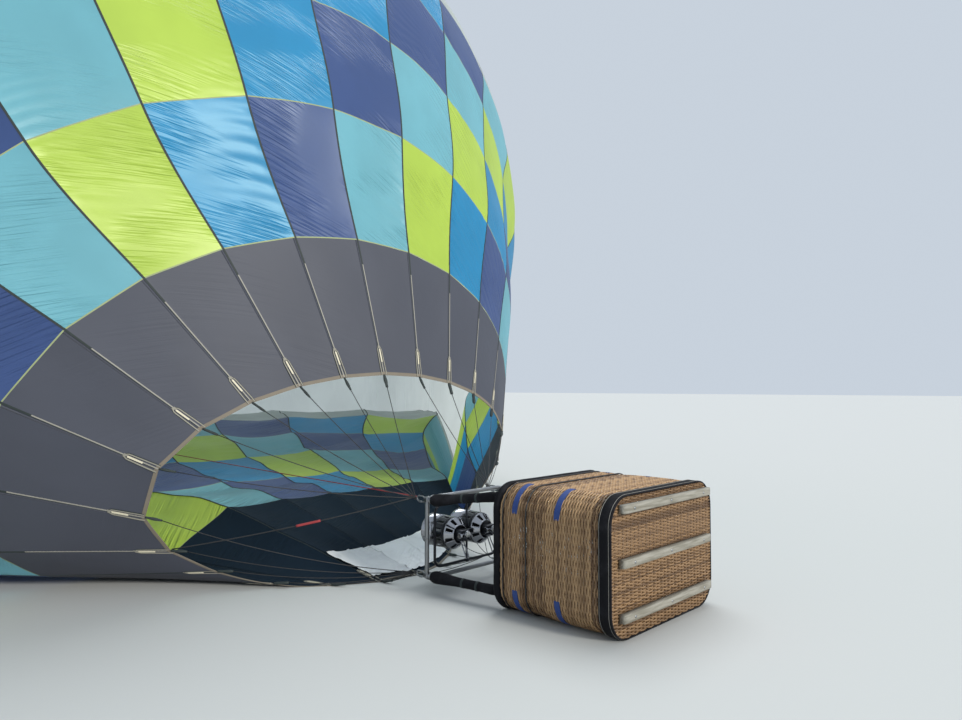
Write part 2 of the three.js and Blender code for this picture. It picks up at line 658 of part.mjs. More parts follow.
function buildBasket() {
  const halfY = BASKET.width / 2;
  const halfZ = BASKET.depth / 2;
  const wallFrom = BASKET.rimX + 2 * RIM_ROLL;
  const floorX = baseX - BASKET.wall;
  const wicker = material("wicker", 0.8, 0);
  const wallBar = (from, to, hole) =>
    roundedBar(
      from,
      to,
      BASKET.centreY,
      basketCentreZ,
      halfY - HIDE.thickness,
      halfZ - HIDE.thickness,
      BASKET.corner,
      hole,
    );
  add("basket_wall", wallBar(wallFrom + SEAM_GAP, floorX - SEAM_GAP, BASKET.wall), wicker);
  add("basket_floor", wallBar(floorX, baseX - SEAM_GAP, 0), wicker);
  const rimLoop = roundedLoop(
    BASKET.rimX + RIM_ROLL,
    BASKET.centreY,
    basketCentreZ,
    halfY - RIM_ROLL,
    halfZ - RIM_ROLL,
    BASKET.corner - RIM_ROLL,
  );
  const rim = [loopTube(rimLoop, vec(1, 0, 0), RIM_ROLL)];
  for (const quadrant of quadrants) {
    const foot = socketCentre(quadrant);
    rim.push(cylinder(foot, vec(1, 0, 0), SOCKET.radius, SOCKET.length + 2 * RIM_ROLL));
    const toRim = SOCKET.insetY - RIM_ROLL;
    const strut = foot.clone().add(vec(0, (quadrant.y * toRim) / 2, 0));
    rim.push(box(strut, vec(RIM_ROLL, toRim, SOCKET.strut)));
  }
  add("basket_rim", join(rim), hide);
  for (let i = 0; i < 3; i++) {
    const centre = vec(
      baseX + RUNNER.thickness / 2,
      BASKET.centreY,
      basketCentreZ + RUNNER.rise + (i - 1) * RUNNER.spacing,
    );
    const runner = box(centre, vec(RUNNER.thickness, RUNNER.length, RUNNER.width));
    add("runner_" + (i + 1), runner, material("wood", 0.7, 0));
  }
  const edge = roundedBar(
    baseX - HIDE.height,
    baseX - SEAM_GAP,
    BASKET.centreY,
    basketCentreZ,
    halfY,
    halfZ,
    BASKET.corner + HIDE.thickness,
    HIDE.thickness - SEAM_GAP,
  );
  add("base_hide", edge, hide);
}

function socketCentre({ y, z }) {
  return vec(
    BASKET.rimX + RIM_ROLL - SOCKET.length / 2,
    BASKET.centreY + y * (BASKET.width / 2 - SOCKET.insetY),
    basketCentreZ + z * (BASKET.depth / 2 - SOCKET.insetZ),
  );
}

function buildPoles() {
  for (const quadrant of quadrants) {
    const foot = socketCentre(quadrant);
    foot.x -= SOCKET.length / 2 + RIM_ROLL + SEAM_GAP;
    const head = cornerAnchor(quadrant);
    head.x = FRAME_CENTRE.x + LUG.length + SEAM_GAP;
    add("pole_" + quadrant.name, rod(head, foot, POLE, POLE, 12), hide);
  }
}

// A fuel tank in each corner: a cylinder with a rounded shoulder and one block for its valves.
const tankCorners = [
  { y: -1, z: -1 },
  { y: 1, z: -1 },
  { y: -1, z: 1 },
  { y: 1, z: 1 },
];

function buildTanks() {
  const outline = [
    [0, 0],
    [TANK.radius - TANK.edge, 0],
    [TANK.radius, TANK.edge],
    [TANK.radius, TANK.length - TANK.shoulder],
    [TANK.radius - TANK.edge, TANK.length - TANK.edge],
    [TANK.radius - TANK.shoulder, TANK.length],
    [TANK.valves, TANK.length],
    [TANK.valves, TANK.length + TANK.valvesLength],
    [0, TANK.length + TANK.valvesLength],
  ].map(([radius, height]) => new THREE.Vector2(radius, height));
  for (const [index, { y, z }] of tankCorners.entries()) {
    const foot = vec(
      baseX - BASKET.wall - SEAM_GAP,
      BASKET.centreY + y * (BASKET.width / 2 - TANK.inset),
      basketCentreZ + z * (BASKET.depth / 2 - TANK.inset),
    );
    const tank = new THREE.LatheGeometry(outline, BURNER.sides).applyMatrix4(turnedAlongX(foot));
    add("fuel_tank_" + (index + 1), tank, metal);
  }
}

buildBasket();
buildPoles();
buildTanks();

export default group;
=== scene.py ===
import functools
import math

import bpy
import numpy as np
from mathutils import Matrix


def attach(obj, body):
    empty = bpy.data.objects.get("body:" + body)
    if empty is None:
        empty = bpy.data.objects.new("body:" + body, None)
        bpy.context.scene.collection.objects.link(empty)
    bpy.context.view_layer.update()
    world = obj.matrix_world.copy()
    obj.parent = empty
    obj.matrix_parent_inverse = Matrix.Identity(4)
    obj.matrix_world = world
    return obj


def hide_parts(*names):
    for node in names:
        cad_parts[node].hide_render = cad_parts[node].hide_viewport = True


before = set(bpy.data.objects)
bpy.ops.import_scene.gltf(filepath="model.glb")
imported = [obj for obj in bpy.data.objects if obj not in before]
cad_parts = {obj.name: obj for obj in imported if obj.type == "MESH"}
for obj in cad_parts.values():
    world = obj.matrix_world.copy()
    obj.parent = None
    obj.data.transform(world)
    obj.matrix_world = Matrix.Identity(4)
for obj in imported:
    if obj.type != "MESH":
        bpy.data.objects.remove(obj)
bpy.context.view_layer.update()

# A hot air balloon on its side during cold inflation, in metres, in the frame of the CAD model.
ORIGIN_X = 4.8915
ALONG = (1.0, 0, 0)
ACROSS = (0, 1.0, 0)

# Envelope: gores, the tape that lies at the top, and how the hem spreads and reaches out at its bottom
GORES = 24
TOP_TAPE = 4.174
HEM_SPREAD = 1.09
HEM_LIP = 1.27
LOBE = 0.03
OVAL_STEPS = 360
# How the cloth meets the ground, and the gore that holds the slack between wall and floor in one pleat
SOFT_GROUND = 0.78
FLOOR_EDGE = 0.45
FULL_FLOOR = 0.3
FLOOR_LIFT = 0.002
PLEAT = 11
RINGS = np.array([
    # station, half width, top, low, lean, side, reach, floor
    (0.000, 2.08, 1.86, -0.126, -0.51, 0.0, 0.0, 0.0),
    (0.600, 2.88, 3.13, -0.925, -0.5, -0.216, 0.1, 0.48),
    (1.175, 3.64, 4.32, -1.285, -0.55, -0.427, 0.31, 0.55),
    (1.625, 4.11, 5.45, -1.47, -0.49, -0.465, 0.96, 0.72),
    (2.065, 4.5, 6.53, -1.57, -0.44, -0.39, 1.61, 0.95),
    (2.470, 5.07, 7.4, -1.59, -0.355, -0.2, 2.36, 1.17),
    (3.100, 5.62, 8.28, -1.57, -0.3, -0.1, 2.7, 1.22),
    (3.900, 6.15, 9.05, -1.53, -0.26, 0.0, 2.7, 1.22),
    (4.850, 6.6, 9.7, -1.48, -0.22, 0.0, 2.5, 1.18),
    (5.900, 6.95, 10.2, -1.42, -0.18, 0.0, 2.1, 1.1),
    (7.000, 7.15, 10.5, -1.35, -0.14, 0.0, 1.65, 1.0),
    (8.100, 7.2, 10.6, -1.24, -0.1, 0.0, 1.25, 0.85),
    (9.200, 7.0, 10.45, -1.0, -0.06, 0.0, 0.8, 0.7),
    (10.200, 6.5, 9.7, -0.9, -0.03, 0.0, 0.45, 0.5),
    (11.100, 5.7, 8.7, -0.65, 0.0, 0.0, 0.2, 0.3),
    (11.850, 4.6, 7.5, -0.25, 0.0, 0.0, 0.0, 0.1),
    (12.350, 3.45, 6.3, 0.45, 0.0, 0.0, 0.0, 0.0),
    (12.650, 2.35, 5.25, 1.35, 0.0, 0.0, 0.0, 0.0),
])
VENT_RING = len(RINGS) - 1

# Rows of the mesh in each span between two rings, from the band to the vent
ROWS_IN_SPAN = (50, 50, 50, 50, 30, 20, 16, 14, 12, 12, 12, 12, 10, 10, 8, 6)
GORE_COLUMNS = 20
BAND_ROWS = 60
BAND_COLUMNS = 22

# Colours step from gore to gore in the coloured rows, with a seam strip between the rows
ROW_COLOURS = ("teal", "lime", "blue", "navy")
COLOURED_ROWS = 4
SEAM = 0.009

# Folds on the ground, the broad billow of a gore and the fine folds that start at its tapes
FLOOR_FOLDS = {"long": 0.10, "long_size": 0.8, "short": 0.04, "short_size": 0.3, "stretch": 0.45}
BILLOW = {"depth": 0.02, "size": 0.9}
TAPE_FOLDS = {"depth": 0.009, "wave": 0.12, "reach": 0.42, "group": 0.7, "offset": 0.04}
# How much the length and the slant of the fine folds change from place to place, and over what distance
WAVE_CHANGE = {"by": 0.35, "size": 1.3}
SLANT_CHANGE = {"by": 0.3, "size": 1.1}
# Cloth takes its billow and fine folds between these two heights above the ground
CALM_HEIGHTS = (0.0, 0.4)
# How far a fold runs towards the mouth on its way across a gore, for each metre across
FOLD_SLANT = 0.55
# How much more the light shows a gore's swelling between its tapes than its mesh does, per metre
LOBE_BEND = 0.2
# How far the pattern of the fine folds moves on from gore to gore
PATTERN_SHIFT = 3.7

# Seeds of the noise and of the random draws
SEEDS = {"long_folds": 3, "short_folds": 4, "billow": 11, "left_folds": 20, "right_folds": 30, "pole": 5,
         "rim": 3, "runner": 9, "apron": 41, "apron_fine": 43, "basket_wall": 7, "basket_floor": 11}

# Looks, with linear RGB colours
CLOTHS = {
    "teal": {"colour": (0.165, 0.44, 0.53)},
    "lime": {"colour": (0.44, 0.61, 0.08)},
    "blue": {"colour": (0.018, 0.24, 0.49)},
    "navy": {"colour": (0.038, 0.072, 0.21), "through": 0.3},
    "white": {"colour": (0.68, 0.72, 0.71), "through": 0.62, "sheen": 0.4},
    "grey": {"colour": (0.051, 0.057, 0.079), "roughness": 0.62, "through": 0.08, "folds": 0.1, "sheen": 0.5},
    # The inner side of the band: the band's grey cloth, made near black by painted shade
    "inside": {"colour": (0.006, 0.014, 0.026), "roughness": 0.8, "through": 0, "folds": 0.5, "sheen": 0.12},
    "apron": {"colour": (0.90, 0.92, 0.93), "roughness": 0.6, "through": 0.05, "folds": 0.6},
}
WEBBINGS = {
    "tape_dark": {"colour": (0.018, 0.028, 0.028)},
    "tape_pale": {"colour": (0.27, 0.26, 0.22)},
    "tape_grey": {"colour": (0.30, 0.29, 0.26)},
    "seam": {"colour": (0.29, 0.34, 0.17)},
    # Painted highlight: a pale strip down the pockets
    "cream": {"colour": (0.62, 0.58, 0.45), "fleck": 0.12},
    "hem": {"colour": (0.18, 0.155, 0.12)},
    "strap_blue": {"colour": (0.022, 0.06, 0.24)},
    "cord_red": {"colour": (0.30, 0.03, 0.035)},
}
METALS = {
    "steel": {"colour": (0.32, 0.33, 0.34), "roughness": 0.30},
    "chrome": {"colour": (0.42, 0.43, 0.46), "roughness": 0.10, "streak": 0.1},
    "gloss": {"colour": (0.045, 0.047, 0.055), "roughness": 0.16, "streak": 0.1, "metallic": 0.8},
    "black_metal": {"colour": (0.03, 0.032, 0.04), "roughness": 0.32, "metallic": 0.6},
    "brass": {"colour": (0.60, 0.47, 0.27), "roughness": 0.28},
    "aluminium": {"colour": (0.74, 0.75, 0.76), "roughness": 0.35},
    "cable": {"colour": (0.018, 0.018, 0.020), "roughness": 0.55, "metallic": 0.0},
    "dial": {"colour": (0.75, 0.75, 0.72), "roughness": 0.4, "metallic": 0.0},
}
HIDES = {
    "black_hide": {"colour": (0.012, 0.012, 0.014)},
    "rubber": {"colour": (0.02, 0.021, 0.024)},
}
WICKERS = {
    "wicker": {"pale": (0.40, 0.25, 0.125), "dark": (0.10, 0.05, 0.022)},
    # The base's cane is the wall's cane, made darker by painted shade
    "wicker_base": {"pale": (0.25, 0.15, 0.073), "dark": (0.07, 0.036, 0.016)},
}
WOODS = {
    "wood": {"pale": (0.27, 0.26, 0.225), "dark": (0.16, 0.15, 0.12)},
}

# Camera, from the photo's fit, and the studio
CAMERA = {"place": (10.846, -4.391, 1.75), "heading": 134.0, "pitch": 2.09, "lens": 27.05, "sensor": 36,
          "end": 500}
STUDIO_FLOOR = {"half": 150, "colour": (0.50, 0.51, 0.50, 1), "roughness": 0.8}
SKY = {"colour": (0.80, 0.89, 1.0, 1), "strength": 0.72}
LIGHTS = (
    # name, direction to the light, strength, width of the light in degrees, colour
    ("key", (0.96, 0.07, 0.32), 3.3, 10, (1.0, 0.96, 0.88)),
    ("fill", (-0.25, 0.35, 0.9), 1.65, 40, (0.95, 0.98, 1.0)),
)


# Meshes
class Shape:
    """Points and faces of one piece, gathered part by part."""

    def __init__(self):
        self.points, self.faces, self.slots, self.values = [], [], [], []
        self.count = 0

    def add(self, points, faces, slot=0, values=(0, 0, 0), caps=()):
        """Adds points with their faces and caps. slot is the material's place, or one for each face."""
        points = np.asarray(points, float).reshape(-1, 3)
        self.points.append(points)
        self.values.append(np.broadcast_to(np.reshape(values, (-1, 3)), points.shape))
        for part in (faces, caps):
            if len(part):
                self.faces.append(np.asarray(part, int) + self.count)
                self.slots.append(np.broadcast_to(slot, len(part)))
        self.count += len(points)

    def skin(self, grid, slot=0, values=(0, 0, 0), around=True, closed=False, ends=False, flip=False):
        """Adds a grid of points as quads.

        around closes each row on itself, closed joins the last row to the first, ends puts a face
        on the first and the last row, and flip turns the skin inside out.
        """
        grid = np.asarray(grid, float)
        rows, columns = grid.shape[:2]
        loop = np.arange(columns)
        faces = grid_faces(rows, columns, around, closed)
        caps = np.array([loop[::-1], (rows - 1) * columns + loop]) if ends else np.empty((0, columns), int)
        if flip:
            faces, caps = faces[:, ::-1], caps[:, ::-1]
        self.add(grid, faces, slot, values, caps)

    def build(self, name, materials, smooth=True):
        mesh = bpy.data.meshes.new(name)
        points = np.concatenate(self.points)
        mesh.vertices.add(len(points))
        mesh.vertices.foreach_set("co", points.ravel())
        corners = np.concatenate([f.ravel() for f in self.faces])
        sizes = np.concatenate([np.full(len(f), f.shape[1]) for f in self.faces])
        mesh.loops.add(len(corners))
        mesh.loops.foreach_set("vertex_index", corners)
        mesh.polygons.add(len(sizes))
        mesh.polygons.foreach_set("loop_start", np.concatenate([[0], np.cumsum(sizes)[:-1]]))
        mesh.polygons.foreach_set("material_index", np.concatenate(self.slots))
        mesh.polygons.foreach_set("use_smooth", np.full(len(sizes), smooth))
        mesh.update(calc_edges=True)
        mesh.validate()
        attribute = mesh.attributes.new("cloth", "FLOAT_VECTOR", "POINT")
        attribute.data.foreach_set("vector", np.concatenate(self.values).ravel())
        for material in materials:
            mesh.materials.append(material)
        return add_object(name, mesh)


def add_object(name, data):
    made = bpy.data.objects.new(name, data)
    bpy.context.scene.collection.objects.link(made)
    return made


def grid_faces(rows, columns, around=False, closed=False):
    """Quads of a grid of points, row by row."""
    i, j = np.meshgrid(np.arange(rows - (not closed)), np.arange(columns - (not around)), indexing="ij")
    row, below, after = i * columns, (i + 1) % rows * columns, (j + 1) % columns
    return np.stack([row + j, row + after, below + after, below + j], -1).reshape(-1, 4)


def unit(vectors):
    vectors = np.asarray(vectors, float)
    return vectors / np.maximum(np.linalg.norm(vectors, axis=-1, keepdims=True), 1e-12)


def circle_turns(count):
    return 2 * np.pi * np.arange(count) / count


def circle(turns, width, height=None):
    """Points at some angles of a circle or oval across X."""
    height = width if height is None else height
    return np.stack([np.zeros(len(turns)), width * np.cos(turns), height * np.sin(turns)], -1)


def smooth_path(points, steps):
    """A Catmull-Rom curve through the points, evenly sampled in its parameter."""
    points = np.asarray(points, float)
    padded = np.vstack([2 * points[0] - points[1], points, 2 * points[-1] - points[-2]])
    t = np.linspace(0, len(points) - 1, steps)
    i = np.minimum(t.astype(int), len(points) - 2)
    x = (t - i)[:, None]
    p0, p1, p2, p3 = (padded[i + k] for k in range(4))
    return 0.5 * (2 * p1 + (p2 - p0) * x + (2 * p0 - 5 * p1 + 4 * p2 - p3) * x**2
                  + (3 * p1 - p0 - 3 * p2 + p3) * x**3)


def frames(path, closed=False, up=None):
    """Two unit vectors across a path at each of its points, carried along without twist."""
    if closed:
        along = unit(np.roll(path, -1, 0) - np.roll(path, 1, 0))
    else:
        along = unit(np.gradient(path, axis=0))
    if up is not None:
        first = unit(np.broadcast_to(up, path.shape) - along * np.sum(along * up, -1, keepdims=True))
        return first, np.cross(along, first)
    first = np.empty_like(path)
    carried = np.array((0, 0, 1.0) if abs(along[0][2]) < 0.9 else ALONG)
    for i, direction in enumerate(along):
        carried = carried - direction * np.dot(carried, direction)
        carried = carried / np.linalg.norm(carried)
        first[i] = carried
    return first, np.cross(along, first)


def tube(shape, path, radius, sides=8, closed=False, slot=0, flat=1.0, up=None, value=0.0):
    """A round or flattened tube along a path. flat scales its height along the first vector."""
    path = np.asarray(path, float)
    first, second = frames(path, closed, up)
    radius = np.broadcast_to(radius, len(path))[:, None, None]
    turns = 2 * np.pi * (np.arange(sides) + 0.5) / sides
    ring = first[:, None] * np.sin(turns)[:, None] * flat + second[:, None] * np.cos(turns)[:, None]
    shape.skin(path[:, None] + ring * radius, slot, (value, 0, 0), closed=closed, ends=not closed)


def lathe(shape, profile, centre, axis=ALONG, sides=48, slot=0, closed=False):
    """Turns (distance along the axis, radius) pairs about an axis through the centre."""
    axis = unit(axis)
    first = unit(np.cross(axis, (0, 0, 1) if abs(axis[2]) < 0.9 else ACROSS))
    second = np.cross(axis, first)
    turns = circle_turns(sides)[:, None]
    ring = first * np.cos(turns) + second * np.sin(turns)
    steps, radii = np.asarray(profile, float).T[:, :, None, None]
    shape.skin(centre + steps * axis + radii * ring, slot, closed=closed, ends=not closed, flip=True)


def rod(shape, centre, length, radius, axis=ALONG, sides=24, slot=0):
    """A plain round bar about its centre."""
    lathe(shape, [(-length / 2, radius), (length / 2, radius)], centre, axis, sides, slot)


def block(shape, centre, size, bevel=0.15):
    """A box whose edges are cut back by a share of its least side."""
    half = np.asarray(size, float) / 2
    cut = bevel * half.min() * 2
    inner = half - cut
    grid = []
    for z, (x, y, _) in ((-half[2], inner), (-inner[2], half), (inner[2], half), (half[2], inner)):
        side = [(x - cut, -y, z), (x, cut - y, z), (x, y - cut, z), (x - cut, y, z)]
        grid.append(side + [(-px, py, pz) for px, py, pz in side[::-1]])
    shape.skin(grid + centre, ends=True)


def noise(points, scale, seed):
    """Smooth value noise from -1 to 1 at points, with cells of the given size in metres."""
    cells = np.asarray(points, float) / scale
    low = np.floor(cells).astype(np.int64)
    part = cells - low
    part = part * part * (3 - 2 * part)
    total = np.zeros(cells.shape[:-1])
    for corner in np.ndindex(2, 2, 2):
        cell = low + corner
        mixed = (cell[..., 0] * 374761393 + cell[..., 1] * 668265263
                 + cell[..., 2] * 1103515245 + seed * 974634777) & 0xFFFFFFFF
        mixed = ((mixed ^ (mixed >> 13)) * 1274126177) & 0xFFFFFFFF
        value = ((mixed ^ (mixed >> 16)) & 0xFFFF) / 32767.5 - 1
        weight = np.prod([part[..., k] if corner[k] else 1 - part[..., k] for k in range(3)], axis=0)
        total += value * weight
    return total


def rise(value, low, high):
    """0 below low and 1 above high, with a smooth step between."""
    x = np.clip((value - low) / (high - low), 0, 1)
    return x * x * (3 - 2 * x)


# Envelope surface
def ring_values(s):
    """The ring table's columns at fractional ring numbers, on a smooth curve through the rings."""
    steps = np.diff(RINGS, axis=0)
    before, after = steps[:-1], steps[1:]
    same_way = before * after > 0
    inner = np.where(same_way, 2 * before * after / np.where(same_way, before + after, 1), 0)
    slopes = np.vstack([steps[:1], inner, steps[-1:]])
    i = np.clip(np.floor(s).astype(int), 0, VENT_RING - 1)
    x = (s - i)[:, None]
    return ((2 * x**3 - 3 * x**2 + 1) * RINGS[i] + (x**3 - 2 * x**2 + x) * slopes[i]
            + (3 * x**2 - 2 * x**3) * RINGS[i + 1] + (x**3 - x**2) * slopes[i + 1])


@functools.lru_cache(maxsize=None)
def oval_lengths(half_width, half_height):
    """Angles from an oval's top and the shares of half its edge that they reach."""
    turns = np.linspace(0, np.pi, OVAL_STEPS + 1)
    middle = (turns[1:] + turns[:-1]) / 2
    pieces = np.hypot(half_width * np.cos(middle), half_height * np.sin(middle))
    lengths = np.concatenate([[0], np.cumsum(pieces)])
    return turns, lengths / lengths[-1]


def oval_turn(half_width, half_height, share):
    """The angle from an oval's top at a share of its edge, from -0.5 to 0.5."""
    turns, lengths = oval_lengths(half_width, half_height)
    return np.sign(share) * np.interp(2 * np.abs(share), lengths, turns)


def settle(turn, tapes, half_width, half_height, centre, floor):
    """Heights of an oval on the ground, without and with its floor, and how far each point is on that."""
    full = centre + half_height * np.cos(turn)
    soft = max(1e-6, SOFT_GROUND * (half_height - centre))
    bent = np.where(full > soft, full, (np.clip(full, -soft, soft) + soft) ** 2 / (4 * soft))
    contact = half_width * math.sqrt(max(0, 1 - ((centre + soft) / half_height) ** 2))
    near = rise(contact + half_width * np.sin(turn), 0, FLOOR_EDGE) * (np.cos(turn) < 0)
    far = rise(tapes % GORES, PLEAT, PLEAT + 1) * min(1, floor / FULL_FLOOR)
    on_floor = np.where(turn < 0, near, far)
    height = np.where(turn < 0, bent + floor * near, bent * (1 - far) + floor * far)
    return bent, height, on_floor


def ring_line(values, tapes, is_mouth=False):
    """Points of the envelope at one ring, and how far each is on the floor, from 0 to 1."""
    station, half_width, top, low, lean, side, reach, floor = values
    half_height, centre = (top - low) / 2, (top + low) / 2
    share = (tapes - TOP_TAPE) / GORES
    share = share - np.round(share)
    if is_mouth:
        share = share * (HEM_SPREAD - (HEM_SPREAD - 1) * 2 * np.abs(share))
    turn = oval_turn(half_width, half_height, share)
    bent, z, on_floor = settle(turn, tapes, half_width, half_height, centre, floor)
    low_share = np.minimum(np.cos(turn), 0) ** 4
    along = station + lean * (bent - centre) + reach * (1 - (1 - low_share) ** 2)
    if is_mouth:
        along = along - HEM_LIP * low_share
    return np.stack([ORIGIN_X - along, side + half_width * np.sin(turn), z], -1), on_floor


def tape_surface(s, tapes):
    """The surface through the tapes, without lobes, and how far each point is on the floor."""
    s, tapes = np.asarray(s, float), np.asarray(tapes, float)
    mouth, mouth_floor = ring_line(RINGS[0], tapes, is_mouth=True)
    band, band_floor = ring_line(RINGS[1], tapes)
    points = np.empty((len(s), len(tapes), 3))
    on_floor = np.empty((len(s), len(tapes)))
    for i, (at, values) in enumerate(zip(s, ring_values(s))):
        if at < 1:
            points[i] = mouth + at * (band - mouth)
            on_floor[i] = mouth_floor + at * (band_floor - mouth_floor)
        else:
            points[i], on_floor[i] = ring_line(values, tapes)
    return points, on_floor


def tape_point(s, tape):
    return tape_surface([s], [tape])[0][0, 0]


def outward(s, tapes):
    """Unit vectors that point out of the envelope, straight down where it lies on the ground."""
    step = 0.05
    s, tapes = np.asarray(s, float), np.asarray(tapes, float)
    before, _ = tape_surface(np.maximum(s - step, 0), tapes)
    after, _ = tape_surface(np.minimum(s + step, VENT_RING), tapes)
    across = tape_surface(s, tapes + 5 * step)[0] - tape_surface(s, tapes - 5 * step)[0]
    normals = unit(np.cross(across, after - before))
    points, _ = tape_surface(s, tapes)
    return np.where(points[..., 2:] <= 1e-4, (0, 0, -1.0), normals)


def floor_lift(points, on_floor, s):
    """How far the cloth that lies on the ground rises in folds."""
    stretched = points * (1.0, FLOOR_FOLDS["stretch"], 1.0)
    long_waves = np.abs(noise(stretched, FLOOR_FOLDS["long_size"], SEEDS["long_folds"]))
    short_waves = 0.5 + 0.5 * noise(stretched, FLOOR_FOLDS["short_size"], SEEDS["short_folds"])
    waves = long_waves * FLOOR_FOLDS["long"] + short_waves * FLOOR_FOLDS["short"]
    calm = 0.25 + 0.75 * rise(s, 0.6, 1.6)[:, None]
    return rise(on_floor, 0.02, 1) * waves * calm


def tape_folds(points, s, along, edge, lean, seed):
    """Groups of folds that run in from a tape. edge is the distance from it."""
    wave = TAPE_FOLDS["wave"] * (1 + WAVE_CHANGE["by"] * noise(points, WAVE_CHANGE["size"], seed + 2))
    slant = lean + SLANT_CHANGE["by"] * noise(points, SLANT_CHANGE["size"], seed + 5)
    ridge = (0.5 + 0.5 * np.sin(2 * np.pi * (along + slant * edge) / wave)) ** 1.5
    group = rise(noise(points, TAPE_FOLDS["group"], seed), -0.15, 0.6)
    near = rise(edge, 0.0, 0.05) * np.exp(-edge / TAPE_FOLDS["reach"])
    strength = (0.1 + 0.9 * rise(s, 0.9, 1.1) * (1 - rise(s, 3, 8)))[:, None]
    return TAPE_FOLDS["depth"] * ridge * group * near * strength


def cloth(s, gore, shares):
    """Points of the finished cloth at ring numbers s and shares of one gore's width, and what lies where.

    The second array holds, for each point, its distance along the gore, its distance from the
    gore's middle and its distance from the nearest tape.
    """
    s, shares = np.asarray(s, float), np.asarray(shares, float)
    tapes = gore + shares
    ends, _ = tape_surface(s, [gore, gore + 1])
    _, on_floor = tape_surface(s, tapes)
    left, right = ends[:, :1], ends[:, 1:]
    normals = outward(s, tapes)
    width = np.linalg.norm(right - left, axis=-1)
    arch = 4 * shares * (1 - shares)
    crown = np.clip(VENT_RING - s, 0, 1)[:, None]
    lobe = 0 if gore == PLEAT else LOBE
    points = left + (right - left) * shares[:, None] + normals * (lobe * arch * width * crown)[..., None]
    middle = (left + right)[:, 0] / 2
    along = np.concatenate([[0], np.cumsum(np.linalg.norm(np.diff(middle, axis=0), axis=-1))])
    along = along[:, None] + np.zeros_like(shares)
    across = (shares - 0.5) * width
    edge = np.minimum(shares, 1 - shares) * width
    off_ground = rise(points[..., 2], *CALM_HEIGHTS)
    billow = BILLOW["depth"] * noise(points, BILLOW["size"], SEEDS["billow"]) * arch
    folds = tape_folds(points, s, along, shares * width, FOLD_SLANT, SEEDS["left_folds"])
    far_edge = (1 - shares) * width
    folds += tape_folds(points, s, along + TAPE_FOLDS["offset"], far_edge, -FOLD_SLANT, SEEDS["right_folds"])
    points = points + normals * ((billow - folds) * off_ground * crown)[..., None]
    if gore == PLEAT:
        floor = np.clip(ring_values(s)[:, -1:] / FULL_FLOOR, 0, 1)
        points[..., 2] *= 1 - floor * (1 - np.abs(2 * shares - 1))
    points[..., 2] = np.maximum(points[..., 2], 0) + floor_lift(points, on_floor, s) + FLOOR_LIFT
    return points, np.stack([along, across, edge], -1)


# Materials
class Look:
    """A material and its nodes. A socket takes a number, a colour or another node's output."""

    def __init__(self, name):
        self.material = bpy.data.materials.new(name)
        self.material.use_nodes = True
        self.nodes = self.material.node_tree.nodes
        self.shader = self.nodes["Principled BSDF"]

    def fill(self, node, values):
        for name, value in values.items():
            if isinstance(value, bpy.types.NodeSocket):
                self.material.node_tree.links.new(value, node.inputs[name])
            else:
                node.inputs[name].default_value = value

    def node(self, kind, values, output=0, **settings):
        """Adds a node with its settings and values, and gives one of its outputs."""
        made = self.nodes.new("ShaderNode" + kind)
        for name, setting in settings.items():
            setattr(made, name, setting)
        self.fill(made, values)
        return made.outputs[output]

    def spot(self):
        """Places in the object's own frame."""
        return self.node("TexCoord", {}, "Object")

    def stored(self):
        """The values that each point of a shape carries."""
        return self.node("Attribute", {}, "Vector", attribute_name="cloth")

    def split(self, vector):
        return self.node("SeparateXYZ", {"Vector": vector}).node.outputs

    def noise(self, vector, scale, detail=3.0, stretch=(1, 1, 1)):
        vector = self.node("Mapping", {"Vector": vector, "Scale": stretch})
        return self.node("TexNoise", {"Vector": vector, "Scale": scale, "Detail": detail}, "Fac")

    def add(self, first, second):
        return self.node("Math", {0: first, 1: second}, operation="ADD")

    def times(self, first, second):
        return self.node("Math", {0: first, 1: second}, operation="MULTIPLY")

    def step(self, value, low, high, to_low=0, to_high=1):
        """A smooth step from one range of values to another."""
        values = {"Value": value, "From Min": low, "From Max": high, "To Min": to_low, "To Max": to_high}
        return self.node("MapRange", values, "Result", interpolation_type="SMOOTHSTEP")

    def mix(self, share, first, second):
        """A colour between two, at a share from 0 to 1."""
        return self.node("Mix", {"Factor": share, 6: (*first, 1), 7: (*second, 1)}, 2, data_type="RGBA")

    def bump(self, height, depth, strength=1.0, **before):
        """A surface bent by a height in metres, over the one given as Normal."""
        return self.node("Bump", {"Height": height, "Distance": depth, "Strength": strength, **before})

    def finish(self, colour, roughness, normal, **values):
        self.fill(self.shader, {"Base Color": colour, "Roughness": roughness, "Normal": normal, **values})
        return self.material


def scaled(colour, factor):
    return [min(1, factor * c) for c in colour]


